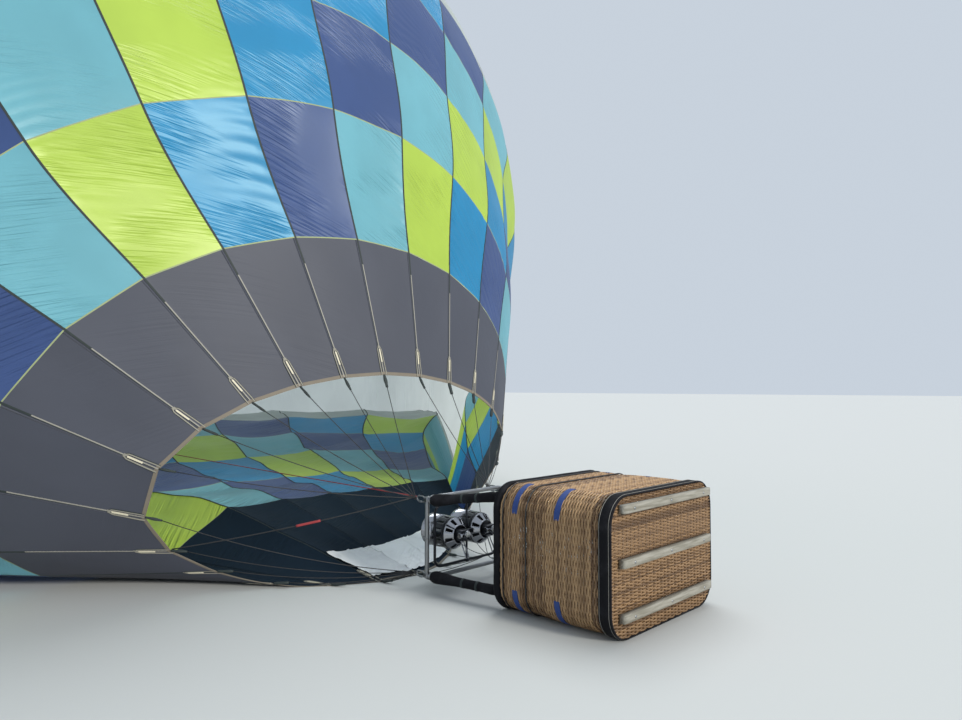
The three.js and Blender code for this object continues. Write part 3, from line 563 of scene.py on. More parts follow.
def cloth_material(name, colour, roughness=0.40, through=0.36, folds=1.0, sheen=0.75):
    """Thin coated cloth: satin, a little see-through to light, with fine folds that run in from the tapes."""
    look = Look("cloth_" + name)
    spot = look.stored()
    along, across, edge = look.split(spot)
    slanted = look.node("CombineXYZ", {"X": look.add(along, look.times(across, FOLD_SLANT)), "Y": across})
    ripple = look.step(look.noise(slanted, 1.0, 2.0, (24, 1.3, 0)), 0.35, 0.65)
    group = look.step(look.noise(spot, 1.0, 1.0, (1.8, 1.2, 0)), 0.42, 0.62)
    near = look.step(edge, 0.0, 0.95, 1, 0.12)
    height = look.times(ripple, look.times(group, near))
    lobe = look.bump(look.times(look.times(across, across), -LOBE_BEND), 1.0)
    fine = look.bump(height, 0.010 * folds, Normal=lobe)
    normal = look.bump(look.noise(spot, 260.0, 2.0), 0.0004, 0.4, Normal=fine)
    tone = look.step(look.noise(spot, 1.3), 0.3, 0.7)
    shade = look.mix(tone, scaled(colour, 0.93), scaled(colour, 1.03))
    lit = look.node("BsdfTranslucent", {"Color": shade, "Normal": normal})
    mixed = look.node("MixShader", {0: through, 1: look.shader.outputs[0], 2: lit})
    look.fill(look.nodes["Material Output"], {"Surface": mixed})
    tint = [0.7 + 0.3 * c for c in scaled(colour, 2 / max(colour))]
    return look.finish(shade, roughness, normal, **{"Specular IOR Level": sheen, "Specular Tint": (*tint, 1)})


def webbing_material(name, colour, fleck=0.25):
    """Woven tape or strap with fine ribs."""
    look = Look(name)
    spot = look.spot()
    shade = look.mix(look.noise(spot, 9.0), scaled(colour, 1 - fleck), colour)
    return look.finish(shade, 0.72, look.bump(look.noise(spot, 420.0, 2.0), 0.0006, 0.7))


def metal_material(name, colour, roughness, streak=0.12, metallic=1.0):
    """Bare or plated metal with faint wear."""
    look = Look(name)
    spot = look.spot()
    wear = look.noise(spot, 14.0, 5.0)
    shade = look.mix(wear, scaled(colour, 0.72), colour)
    rough = look.step(wear, 0.3, 0.8, roughness, roughness + streak)
    return look.finish(shade, rough, look.bump(look.noise(spot, 220.0, 2.0), 0.0001, 0.12), Metallic=metallic)


def hide_material(name, colour):
    """Grained hide or padded cover."""
    look = Look(name)
    spot = look.spot()
    grain = look.node("TexVoronoi", {"Vector": spot, "Scale": 240.0}, "Distance")
    creased = look.bump(look.noise(spot, 26.0, 4.0), 0.003, 0.6)
    scuff = look.step(look.noise(spot, 7.0, 6.0), 0.5, 0.75, 0, 0.7)
    shade = look.mix(scuff, colour, [2.2 * c + 0.006 for c in colour])
    normal = look.bump(grain, 0.0006, 0.5, Normal=creased)
    return look.finish(shade, 0.62, normal, **{"Specular IOR Level": 0.04})


def wicker_material(name, pale, dark):
    """Varnished cane. The value stored on each strand sets its shade."""
    look = Look(name)
    spot = look.spot()
    strand, _, _ = look.split(look.stored())
    fibre = look.noise(spot, 60.0)
    tone = look.add(strand, look.times(look.noise(spot, 7.0, 4.0), 0.6))
    tone = look.step(look.add(tone, look.times(fibre, 0.3)), 0.25, 1.35)
    return look.finish(look.mix(tone, dark, pale), 0.48, look.bump(fibre, 0.001, 0.5))


def wood_material(name, pale, dark):
    """Weathered board with grain along its length."""
    look = Look(name)
    grain = look.noise(look.spot(), 9.0, 6.0, (6, 0.5, 6))
    return look.finish(look.mix(look.step(grain, 0.3, 0.7), dark, pale), 0.68, look.bump(grain, 0.002, 0.5))


MATERIALS = {}
for make, looks in ((cloth_material, CLOTHS), (webbing_material, WEBBINGS), (metal_material, METALS),
                    (hide_material, HIDES), (wicker_material, WICKERS), (wood_material, WOODS)):
    MATERIALS.update({name: make(name, **look) for name, look in looks.items()})


def piece(shape, name, materials, node=None, body="root", smooth=True):
    """Builds a piece, which rides on a body and may stand for a CAD node."""
    made = shape.build(name, [MATERIALS[m] for m in materials], smooth)
    if node:
        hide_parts(node)
    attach(made, body)
    return made


# Gores
def gore_rows():
    """Ring numbers of a gore's rows, with a row exactly on each ring."""
    spans = [1 + i + np.arange(count) / count for i, count in enumerate(ROWS_IN_SPAN)]
    seams = np.arange(1, COLOURED_ROWS + 2) + SEAM
    return np.sort(np.concatenate([*spans, seams, [VENT_RING]]))


def build_gores():
    rows = gore_rows()
    shares = np.linspace(0, 1, GORE_COLUMNS + 1)
    names = [*ROW_COLOURS, "white", "seam"]
    row_of_face = np.repeat(np.floor(rows[:-1] + 1e-9).astype(int), GORE_COLUMNS)
    on_seam = np.repeat(np.diff(rows) < 1.01 * SEAM, GORE_COLUMNS)
    for gore in range(GORES):
        points, places = cloth(rows, gore, shares)
        colours = np.where(row_of_face <= COLOURED_ROWS, (gore - (row_of_face - 1)) % 4, names.index("white"))
        colours = np.where(on_seam, names.index("seam"), colours)
        shape = Shape()
        shape.skin(points, colours, places + (PATTERN_SHIFT * gore, 0, 0), around=False, flip=True)
        node = f"gore_{gore + 1:02d}"
        made = piece(shape, "cloth_" + node, names, node)


# Mouth band with its hem: an outer layer, and an inner layer dark with painted shade, grey between two tapes
BAND_LAYER = 0.003
UNSHADED_SPAN = (7.5, 11.3)
HEM_TAPE = {"width": 0.028, "thickness": 0.006, "over": 0.004, "lift": 0.0012}
# The ring number just inside the mouth that gives the hem its direction
HEM_INSIDE = 0.035


def mouth_ring(rows):
    """The band all round at some ring numbers: points, what lies where, and outward directions."""
    shares = np.linspace(0, 1, BAND_COLUMNS + 1)[:-1]
    parts = []
    for gore in range(GORES):
        points, places = cloth(rows, gore, shares)
        parts.append((points, places + (PATTERN_SHIFT * gore, 0, 0), outward(rows, gore + shares)))
    return [np.concatenate(part, axis=1) for part in zip(*parts)]


def build_band():
    points, places, normals = mouth_ring(np.linspace(0, 1, BAND_ROWS + 1))
    inner = points - normals * BAND_LAYER
    tapes = (np.arange(points.shape[1]) + 0.5) / BAND_COLUMNS
    grey = (tapes > UNSHADED_SPAN[0]) & (tapes < UNSHADED_SPAN[1])
    outside, painted_shade_layer = Shape(), Shape()
    outside.skin(points, 0, places, flip=True)
    # Painted shade: the inner layer is near black, but keeps the band's grey between two tapes
    painted_shade_layer.skin(inner, np.tile(grey.astype(int), BAND_ROWS), places)
    made = piece(outside, "mouth_band_cloth", ["grey"], "mouth_band")
    painted_shade_piece = piece(painted_shade_layer, "mouth_band_painted_shade", ["inside", "grey"])


def build_hem():
    """The bound edge of the mouth."""
    edge, _, normals = mouth_ring([0, HEM_INSIDE])
    into = unit(edge[1] - edge[0])
    half, width, over = HEM_TAPE["thickness"] / 2, HEM_TAPE["width"], HEM_TAPE["over"]
    section = ((-over, half), (width, half), (width, -half), (-over, -half))
    points = np.stack([edge[0] + into * a + normals[0] * b for a, b in section], axis=1)
    points[..., 2] = np.maximum(points[..., 2], HEM_TAPE["lift"])
    shape = Shape()
    shape.skin(points, closed=True)
    piece(shape, "hem_tape", ["hem"], smooth=False)


# Load tapes along the seams of the gores, with a pocket for a wire at the hem
LOAD_TAPE = {"half": 0.009, "band_half": 0.008, "thickness": 0.004, "lift": 0.001}
POCKET = {"length": 0.27, "half": 0.032, "rim": 0.004, "edge": 0.009, "strip": 0.007}
# How far the pale strip on the dark band tape goes up, and the tapes on the floor that have none
PALE_STRIP = {"to": 0.82, "over": 0.002}
FLOOR_TAPES = range(12, 21)


def strip_along(shape, rows, tape, low, high, thickness, slot):
    """A closed strip that follows the cloth at a tape, between two offsets across it in metres."""
    centre = cloth(rows, tape, [0.0])[0][:, 0]
    before, after = (tape_surface(rows, [tape + step])[0][:, 0] for step in (-0.5, 0.5))
    across = unit(after - before)
    normals = outward(rows, [tape])[:, 0]
    low, high = (np.broadcast_to(offset, len(rows))[:, None] for offset in (low, high))
    half = thickness / 2
    section = ((low, half), (high, half), (high, -half), (low, -half))
    points = np.stack([centre + across * a + normals * b for a, b in section], axis=1)
    points[..., 2] = np.maximum(points[..., 2], LOAD_TAPE["lift"])
    shape.skin(points, slot, ends=True, flip=True)


def build_tapes():
    shape = Shape()
    band = np.linspace(0, 1, 40)
    wide, narrow, thick = LOAD_TAPE["half"], LOAD_TAPE["band_half"], LOAD_TAPE["thickness"]
    edge, strip, rim = POCKET["edge"], POCKET["strip"], POCKET["rim"]
    for tape in range(GORES):
        pocket = POCKET["length"] / np.linalg.norm(tape_point(1, tape) - tape_point(0, tape))
        low = np.linspace(0, pocket, 14)
        half = POCKET["half"] * (0.92 + 0.08 * np.cos(np.pi * low / pocket))
        half = half * np.sqrt(1 - 0.75 * rise(low / pocket, 0.86, 1.0) ** 2)
        strips = [
            # rows, from, to, thickness, slot
            (gore_rows(), -wide, wide, thick, 0),
            (band, -narrow, narrow, thick, 0),
            (low, -half - rim, -half, 0.010, 0),
            (low, half, half + rim, 0.010, 0),
            (low, -half, edge - half, 0.014, 1),
            (low, half - edge, half, 0.014, 1),
            (low[-2:] + pocket * 0.04, -half[-1], half[-1], 0.012, 1),
            # Painted highlight: a pale strip down the middle of the pocket, on its part away from the hem
            (low[6:-1], -strip, strip, 0.018, 3),
        ]
        if tape not in FLOOR_TAPES:
            strips.append((band * PALE_STRIP["to"], -narrow / 4, narrow, thick + PALE_STRIP["over"], 2))
        for rows, *sizes in strips:
            strip_along(shape, rows, tape, *sizes)
    piece(shape, "load_tapes", ["tape_dark", "tape_pale", "tape_grey", "cream"], smooth=False)


# The basket end, with the CAD model's driving sizes. x is measured from the mouth's middle.
FRAME_X = 1.317
FRAME = {"half_y": 0.475, "half_z": 0.34, "tube": 0.019, "corner": 0.07}
LUG = {"length": 0.046, "radius": 0.026}
GIMBAL = {"half_y": 0.385, "half_z": 0.262, "rod": 0.012, "pin": 0.01}
KARABINER = {"length": 0.112, "width": 0.06, "rod": 0.006, "gate": 0.032, "gate_rod": 0.0085, "points": 32}
BURNER = {"spacing": 0.33, "radius": 0.14, "coil_from": 1.3157, "can_from": 1.1954, "can_to": 1.0454,
          "wall": 0.005}
BASKET = {"rim_x": 2.074, "base_x": 3.177, "half_y": 0.725, "half_z": 0.5, "corner": 0.2,
          "y": 0.465, "z": 0.5}
RIM_ROLL = 0.044
HIDE = {"height": 0.11, "thickness": 0.012}
RUNNER = {"thickness": 0.05, "width": 0.06, "length": 1.25, "spacing": 0.37, "rise": 0.04}
SOCKET = {"radius": 0.044, "length": 0.06, "inset": 0.13, "lip": 0.006, "cut": 0.004, "strut": 0.04}
POLE = 0.038
TANK = {"radius": 0.145, "length": 0.86, "inset": 0.201, "foot": 0.0343}
# Clearance between parts that touch in the real thing
GAP = 0.0003
QUADRANTS = {"near_top": (-1, 1), "far_top": (1, 1), "near_low": (-1, -1), "far_low": (1, -1)}


def place(x, y, z):
    return np.array((x + ORIGIN_X, y, z))


FRAME_AT = place(FRAME_X, 0.225, 0.46)


def basket_at(x, y=0.0, z=0.0):
    """A point measured from the basket's middle line."""
    return place(x, BASKET["y"] + y, BASKET["z"] + z)


def burner_at(x, side):
    return place(x, FRAME_AT[1] + side * BURNER["spacing"] / 2, FRAME_AT[2])


def quarter_arcs(half, corner, steps):
    """Middles and angles of a rounded rectangle's four corners. half holds its half sizes along Y and Z."""
    turns = np.linspace(0, np.pi / 2, steps)
    for quarter, (y, z) in enumerate(((1, 1), (-1, 1), (-1, -1), (1, -1))):
        middle = np.array((0, y * (half[0] - corner), z * (half[1] - corner)))
        yield middle, turns + quarter * np.pi / 2


def rounded_loop(centre, half, corner, steps=8):
    """Points of a rounded rectangle across X."""
    arcs = [middle + circle(turns, corner) for middle, turns in quarter_arcs(half, corner, steps + 1)]
    return centre + np.concatenate(arcs)


def basket_loop(x, inset, corner, count):
    """Evenly spaced points round the basket at one x, and the direction that points out at each."""
    dense = rounded_loop(basket_at(x), (BASKET["half_y"] - inset, BASKET["half_z"] - inset), corner, 40)
    closed = np.vstack([dense, dense[:1]])
    lengths = np.concatenate([[0], np.cumsum(np.linalg.norm(np.diff(closed, axis=0), axis=1))])
    at = np.arange(count) / count * lengths[-1]
    points = np.stack([np.interp(at, lengths, column) for column in closed.T], -1)
    along = unit(np.roll(points, -1, 0) - np.roll(points, 1, 0))
    return points, np.cross(along, ALONG)


def sweep_loop(shape, points, outs, profile):
    """Carries a closed profile of (shift along X, shift outwards) pairs round a loop."""
    shifts, reaches = np.asarray(profile, float).T[:, :, None]
    grid = points[:, None] + shifts * ALONG + reaches * outs[:, None]
    shape.skin(grid, closed=True, flip=True)


def sagging(start, end, sag, steps=14):
    """A line between two points that hangs by the given drop in its middle."""
    t = np.linspace(0, 1, steps)[:, None]
    line = np.asarray(start) * (1 - t) + np.asarray(end) * t
    line[:, 2] -= (4 * sag * t * (1 - t))[:, 0]
    return line


# Burner frame and gimbal. Blocks have their sizes along X, Y and Z, and bars their length and radius.
LUG_ENDS = {"cut": 0.004, "front": 0.017, "back": 0.022}
LUG_COLLAR = (0.024, 0.033)
FRAME_PLATE = (0.05, 0.025, 0.05)
FRAME_BOLT = (0.012, 0.012)
GIMBAL_PLATE = (0.036, 0.036, 0.024)
GIMBAL_WASHER = (0.008, 0.017)
# How far the gimbal's pins stay off the frame's tube
PIN_STOP = 0.013


def frame_corner(y, z, dx=0.0):
    inset = FRAME["corner"] * (1 - math.sqrt(0.5))
    return FRAME_AT + (dx, y * (FRAME["half_y"] - inset), z * (FRAME["half_z"] - inset))


def build_burner_frame():
    shape = Shape()
    half_y, radius = FRAME["half_y"], FRAME["tube"]
    loop = rounded_loop(FRAME_AT, (half_y, FRAME["half_z"]), FRAME["corner"], 10)
    tube(shape, loop, radius, 14, closed=True, up=ALONG)
    reach = LUG["length"]
    shoulder = reach - LUG_ENDS["cut"]
    lug = [(-reach, LUG_ENDS["front"]), (-shoulder, LUG["radius"]), (shoulder, LUG["radius"]),
           (reach, LUG_ENDS["back"])]
    for y, z in QUADRANTS.values():
        lathe(shape, lug, frame_corner(y, z), sides=24)
        rod(shape, frame_corner(y, z), *LUG_COLLAR)
    for side in (-1, 1):
        block(shape, FRAME_AT + (0, side * (half_y - radius), 0), FRAME_PLATE)
        rod(shape, FRAME_AT + (0, side * (half_y + radius), 0), *FRAME_BOLT, ACROSS, 6)
    piece(shape, "burner_frame_tube", ["steel"], "burner_frame")


def build_gimbal():
    shape = Shape()
    half_y, half_z = GIMBAL["half_y"], GIMBAL["half_z"]
    loop = rounded_loop(FRAME_AT, (half_y, half_z), FRAME["corner"])
    tube(shape, loop, GIMBAL["rod"], 12, closed=True, up=ALONG)
    reach = FRAME["half_y"] - FRAME["tube"] - PIN_STOP - half_y
    for side in (-1, 1):
        centre = FRAME_AT + (0, side * (half_y + reach / 2), 0)
        rod(shape, centre, reach, GIMBAL["pin"], ACROSS, 16)
        rod(shape, centre, *GIMBAL_WASHER, ACROSS, 20)
        block(shape, FRAME_AT + (0, 0, side * half_z), GIMBAL_PLATE)
    piece(shape, "gimbal_ring_tube", ["black_metal"], "gimbal_ring", "gimbal")


# Burners: a slotted shroud over each coil, a plain can towards the mouth and the valve block behind
SLOTS = {"share": 0.36, "from": 0.16, "to": 0.86, "columns": 96, "rows": 20}
SHROUD = {"wall": 0.002, "slots": 12}
COIL = {"radius": 0.119, "pipe": 0.0095, "turns": 4.5, "steps": 240}
HOOD = {"from": 1.404, "small": 0.080, "length": 0.068, "wall": 0.002, "flange": 0.139, "slots": 8}
VALVE_BLOCK = {"x": 1.414, "size": (0.11, 0.11, 0.09)}
JETS = {"count": 16, "ring": 0.075, "x": -0.02, "pipe": 0.006, "pipe_x": -0.026, "pilot_x": -0.018}
BAR = {"x": 0.03, "size": (0.024, 0.49, 0.04), "hub": (0.054, 0.036, 0.036), "pin_gap": 0.0004,
       "plate_x": 0.019}
LEVER = 0.0058


def slotted_can(shape, centre, radii, wall, length, slots, slot=0):
    """A thin can or cone along -X from its centre, with a row of long slots round it."""
    columns, rows = SLOTS["columns"], SLOTS["rows"]
    turns = circle_turns(columns)
    depth = np.linspace(0, length, rows + 1)
    layers = []
    for inset in (0, wall):
        radius = np.interp(depth / length, (0, 1), radii) - inset
        layers += [centre - (d, 0, 0) + circle(turns, r) for d, r in zip(depth, radius)]
    i, j = np.meshgrid(np.arange(rows), np.arange(columns), indexing="ij")
    middle = (depth[i] + depth[i + 1]) / 2 / length
    around = (j + 0.5) / columns * slots % 1
    is_open = (np.abs(around - 0.5) < SLOTS["share"] / 2) & (middle > SLOTS["from"]) & (middle < SLOTS["to"])
    outer = grid_faces(rows + 1, columns, around=True).reshape(rows, columns, 4)[..., [0, 3, 2, 1]]
    inside = (rows + 1) * columns
    kept = outer[~is_open]
    faces = [kept, kept[:, ::-1] + inside]
    # The rims between the two layers, at the slots and at both ends
    sides = (
        # two corners of a quad, the step to its neighbour
        (0, 1, 0, -1),
        (1, 2, 1, 0),
        (2, 3, 0, 1),
        (3, 0, -1, 0),
    )
    for a, b, down, aside in sides:
        other = np.roll(is_open, (-down, -aside), (0, 1))
        if down:
            other[-1 if down > 0 else 0] = True
        rim = outer[~is_open & other]
        faces.append(np.stack([rim[:, b], rim[:, a], rim[:, a] + inside, rim[:, b] + inside], -1))
    shape.add(np.concatenate(layers), np.concatenate(faces), slot)


def build_coil(number, side):
    shape = Shape()
    start = burner_at(BURNER["coil_from"], side)
    length = BURNER["coil_from"] - BURNER["can_from"] - GAP
    slotted_can(shape, start, (BURNER["radius"], BURNER["radius"]), SHROUD["wall"], length, SHROUD["slots"])
    inset = COIL["pipe"] + SHROUD["wall"]
    helix = start + circle(np.linspace(0, 2 * np.pi * COIL["turns"], COIL["steps"]), COIL["radius"])
    helix[:, 0] -= np.linspace(inset, length - inset, COIL["steps"])
    tube(shape, helix, COIL["pipe"], 8, slot=1)
    node = "burner_coil_%d" % number
    piece(shape, node + "_shroud", ["gloss", "steel"], node, "burners")


def build_can(number, side):
    shape = Shape()
    start = burner_at(BURNER["can_from"], side)
    reach, radius, wall = BURNER["can_from"] - BURNER["can_to"], BURNER["radius"], BURNER["wall"]
    lip = 0.002 - reach
    profile = [(0, radius), (0.006 - reach, radius), (lip, radius + 0.003), (-reach, radius - 0.001),
               (lip, radius - wall), (0, radius - wall)]
    lathe(shape, profile, start, sides=64, closed=True)
    for share in (0.12, 0.3):
        at = -reach * share
        bead = [(at - 0.003, radius), (at, radius + 0.0025), (at + 0.003, radius), (at, radius - 0.002)]
        lathe(shape, bead, start, sides=64, closed=True)
    node = "burner_can_%d" % number
    piece(shape, node + "_chrome", ["chrome"], node, "burners")


def build_valve_block(number, side):
    shape = Shape()
    centre = burner_at(VALVE_BLOCK["x"], side)
    block(shape, centre, VALVE_BLOCK["size"], bevel=0.08)
    nut = [(0, 0.012), (0.02, 0.012), (0.021, 0.016), (0.034, 0.016)]
    parts = (
        # profile, offset from the block's middle, axis, sides, slot
        ([(-0.03, 0.034), (0.03, 0.034)], (0.02, 0, 0), ACROSS, 32, 0),
        ([(-0.058, 0.021), (-0.058, 0.026), (0.06, 0.026), (0.066, 0.02)], (0.035, 0, 0), ACROSS, 24, 1),
        ([(0, 0.03), (0.018, 0.03), (0.02, 0.027)], (0.055, 0.012, 0.008), ALONG, 32, 1),
        ([(0, 0.025), (0.0012, 0.025)], (0.0752, 0.012, 0.008), ALONG, 32, 3),
        (nut, (0.055, -0.026, -0.028), ALONG, 6, 0),
        (nut, (0.055, 0.022, -0.028), ALONG, 6, 0),
        ([(-0.026, 0.009), (0.026, 0.009)], (0.02, 0, -0.052), ACROSS, 16, 1),
    )
    for profile, offset, axis, sides, slot in parts:
        lathe(shape, profile, centre + offset, axis, sides, slot)
    for y in (-0.014, 0.014):
        bends = [(0.02, y, -0.045), (0.026, y, -0.08), (0.05, 1.2 * y, -0.125), (0.07, 1.2 * y, -0.165),
                 (0.082, 1.2 * y, -0.195)]
        tube(shape, centre + smooth_path(bends, 20), LEVER, 10, slot=1)
    node = "burner_block_%d" % number
    piece(shape, node + "_valves", ["black_metal", "chrome", "black_hide", "dial"], node, "burners")


def build_burner_bar():
    shape = Shape()
    block(shape, FRAME_AT + (BAR["x"], 0, 0), BAR["size"])
    block(shape, FRAME_AT + (BAR["x"] / 2, 0, 0), BAR["hub"])
    pins = 2 * (GIMBAL["half_z"] - GIMBAL["rod"] - BAR["pin_gap"])
    rod(shape, FRAME_AT, pins, GIMBAL["pin"], (0, 0, 1), 16)
    plate = [(-0.02, 0.132), (-0.02, 0.139), (-0.002, 0.139), (0, 0.13)]
    jet = [(-0.014, 0.003), (0, 0.005)]
    pilot = [(-0.05, 0.012), (-0.04, 0.016), (0, 0.016)]
    for side in (-1, 1):
        centre = burner_at(FRAME_X + BAR["plate_x"], side)
        lathe(shape, plate, centre, sides=64)
        slotted_can(shape, burner_at(HOOD["from"], side), (HOOD["small"], HOOD["flange"]), HOOD["wall"],
                    HOOD["length"], HOOD["slots"], slot=2)
        for place_in_ring in circle(circle_turns(JETS["count"]), JETS["ring"]):
            lathe(shape, jet, centre + place_in_ring + (JETS["x"], 0, 0), sides=10, slot=1)
        pipe = centre + (JETS["pipe_x"], 0, 0) + circle(circle_turns(48), JETS["ring"])
        tube(shape, pipe, JETS["pipe"], 8, closed=True, slot=1)
        lathe(shape, pilot, centre + (JETS["pilot_x"], 0, 0), sides=20, slot=1)
    piece(shape, "burner_bar_jets", ["black_metal", "brass", "chrome"], "burner_bar", "burners")


# Padded poles between the basket's rim and the corners of the frame
def socket_centre(y, z):
    return basket_at(BASKET["rim_x"] + RIM_ROLL - SOCKET["length"] / 2,
                     y * (BASKET["half_y"] - SOCKET["inset"]), z * (BASKET["half_z"] - SOCKET["inset"]))


POLE_SWELL = {"lumps": 0.03, "head": 0.38, "foot": 0.12, "ends": 0.25}
CUFFS_AT = (0.5, 0.72)


def build_poles():
    t = np.linspace(0, 1, 36)
    cuff = [(-0.012, POLE * 0.9), (-0.01, POLE * 1.06), (0.01, POLE * 1.06), (0.012, POLE * 0.9)]
    for name, (y, z) in QUADRANTS.items():
        head = frame_corner(y, z, LUG["length"] + GAP)
        foot = socket_centre(y, z) - (SOCKET["length"] / 2 + RIM_ROLL + GAP, 0, 0)
        path = head + (foot - head) * t[:, None]
        lumps = POLE_SWELL["lumps"] * noise(path * 12 + y * 3 + z, 1, SEEDS["pole"])
        swell = POLE_SWELL["head"] * (1 - rise(t, 0.05, 0.45)) + POLE_SWELL["foot"] * rise(t, 0.75, 0.95)
        ends = POLE_SWELL["ends"] * (1 - rise(t, 0, 0.05) * (1 - rise(t, 0.96, 1)))
        radius = POLE * (1 + lumps) * (1 + swell) * (1 - ends)
        shape = Shape()
        tube(shape, path, radius, 18)
        for share in CUFFS_AT:
            lathe(shape, cuff, head + (foot - head) * share, foot - head, 24, slot=1)
        piece(shape, "pole_%s_cover" % name, ["black_hide", "tape_dark"], "pole_" + name)


# Basket
WEAVE = {"pitch": 0.0125, "stakes": 76, "thick": 0.0082, "flat": 0.72, "swing": 0.0046, "wander": 0.0012,
         "stake": 0.0045, "bulge": 0.010, "behind_hide": 0.013, "corner_cut": 0.008, "under_rim": 0.01,
         "off_base": 0.036}
BASE_WEAVE = {"pitch": 0.0115, "stakes": 28, "thick": 0.0072, "flat": 0.7, "swing": 0.0055, "wander": 0.001,
              "stake": 0.0045, "inset": 0.0125, "behind_hide": 0.003, "stake_cut": 0.004}
# Shades of the canes: the middle shade and how much rows and groups of rows differ
WALL_SHADES = {"middle": 0.5, "row": 0.25, "group": 0.22, "rows_in_group": 4, "stake": 0.35}
BASE_SHADES = {"middle": 0.45, "row": 0.3, "stake": 0.3}
# Points of a cane between two stakes
SAMPLES = 3
BOARD = {"x": 3.143, "thickness": 0.01, "inset": 0.02}
CORDS_AT = (2.19, 2.42)
CORD = {"radius": 0.0055, "inset": 0.010, "out": 0.002}
STRAPS_AT = (2.31, 2.71)
STRAP = {"width": 0.05, "thickness": 0.003, "sunk": 0.0075, "end_in": 0.03, "end_on": 0.01, "lift": 0.0005}


def wall_bulge(x):
    """How far the wicker swells between the cords that draw it in."""
    edges = (BASKET["rim_x"] + 2 * RIM_ROLL, *CORDS_AT, BASKET["base_x"] - HIDE["height"])
    swell = 0.0
    for low, high in zip(edges[:-1], edges[1:]):
        if low < x < high:
            swell = WEAVE["bulge"] * (1 - abs(2 * (x - low) / (high - low) - 1) ** 3)
    return swell


def build_basket_wall():
    count = WEAVE["stakes"] * SAMPLES
    inset = HIDE["thickness"] + WEAVE["behind_hide"]
    points, outs = basket_loop(0, inset, BASKET["corner"] - WEAVE["corner_cut"], count)
    low = BASKET["rim_x"] + 2 * RIM_ROLL - WEAVE["under_rim"]
    high = BASKET["base_x"] - WEAVE["off_base"]
    rows = int((high - low) / WEAVE["pitch"])
    shape = Shape()
    index = np.arange(count) / SAMPLES
    generator = np.random.default_rng(SEEDS["basket_wall"])
    shades = WALL_SHADES["middle"] + WALL_SHADES["row"] * generator.standard_normal(rows)
    group = WALL_SHADES["rows_in_group"]
    shades += WALL_SHADES["group"] * np.repeat(generator.standard_normal(rows // group + 1), group)[:rows]
    for row, shade in enumerate(np.clip(shades, 0, 1)):
        x = low + (row + 0.5) * WEAVE["pitch"]
        swing = WEAVE["swing"] * np.cos(np.pi * (index + row)) + wall_bulge(x)
        path = points + outs * swing[:, None]
        path[:, 0] += x + WEAVE["wander"] * generator.standard_normal(count)
        tube(shape, path, WEAVE["thick"], 4, closed=True, flat=WEAVE["flat"], up=outs, value=shade)
    for stake in range(0, count, SAMPLES):
        path = [points[stake] + outs[stake] * wall_bulge(x) + (x, 0, 0) for x in np.linspace(low, high, 16)]
        tube(shape, path, WEAVE["stake"], 5, value=WALL_SHADES["stake"])
    piece(shape, "basket_weave", ["wicker"], "basket_wall")


def reach_at(offset, half, across, corner):
    """Half the chord of a rounded rectangle, at an offset from its middle along its side of size half."""
    over = max(0.0, abs(offset) - (half - corner))
    return across - corner + math.sqrt(max(0.0, corner**2 - over**2))


def build_basket_floor():
    shape = Shape()
    inset = HIDE["thickness"] + BASE_WEAVE["behind_hide"]
    half_y, half_z = BASKET["half_y"] - inset, BASKET["half_z"] - inset
    corner = BASKET["corner"] - HIDE["thickness"]
    centre = basket_at(BASKET["base_x"] - BASE_WEAVE["inset"])
    generator = np.random.default_rng(SEEDS["basket_floor"])
    pitch = 2 * half_y / BASE_WEAVE["stakes"]
    for row in range(int(2 * half_z / BASE_WEAVE["pitch"])):
        z = (row + 0.5) * BASE_WEAVE["pitch"] - half_z
        reach = reach_at(z, half_z, half_y, corner)
        count = max(4, int(2 * reach / pitch * SAMPLES))
        y = np.linspace(-reach, reach, count)
        swing = BASE_WEAVE["swing"] * np.cos(np.pi * (y / pitch + row))
        wander = BASE_WEAVE["wander"] * generator.standard_normal(count)
        path = centre + np.stack([swing, y, z + wander], -1)
        shade = np.clip(BASE_SHADES["middle"] + BASE_SHADES["row"] * generator.standard_normal(), 0, 1)
        tube(shape, path, BASE_WEAVE["thick"], 4, flat=BASE_WEAVE["flat"], up=ALONG, value=shade)
    for i in range(BASE_WEAVE["stakes"] + 1):
        y = (i - BASE_WEAVE["stakes"] / 2) * pitch
        reach = reach_at(y, half_y, half_z, corner) - BASE_WEAVE["stake_cut"]
        stake = [centre + (0, y, -reach), centre + (0, y, reach)]
        tube(shape, stake, BASE_WEAVE["stake"], 5, value=BASE_SHADES["stake"])
    inset = BOARD["inset"]
    board = rounded_loop(basket_at(BOARD["x"]), (half_y - inset, half_z - inset), corner - inset, 6)
    shape.skin([board, board + (BOARD["thickness"], 0, 0)], 1, ends=True, flip=True)
    piece(shape, "basket_base_weave", ["wicker_base", "wood"], "basket_floor")


RIM_LUMPS = 0.02
RIM_SEAM = {"at": 0.72, "radius": 0.004}


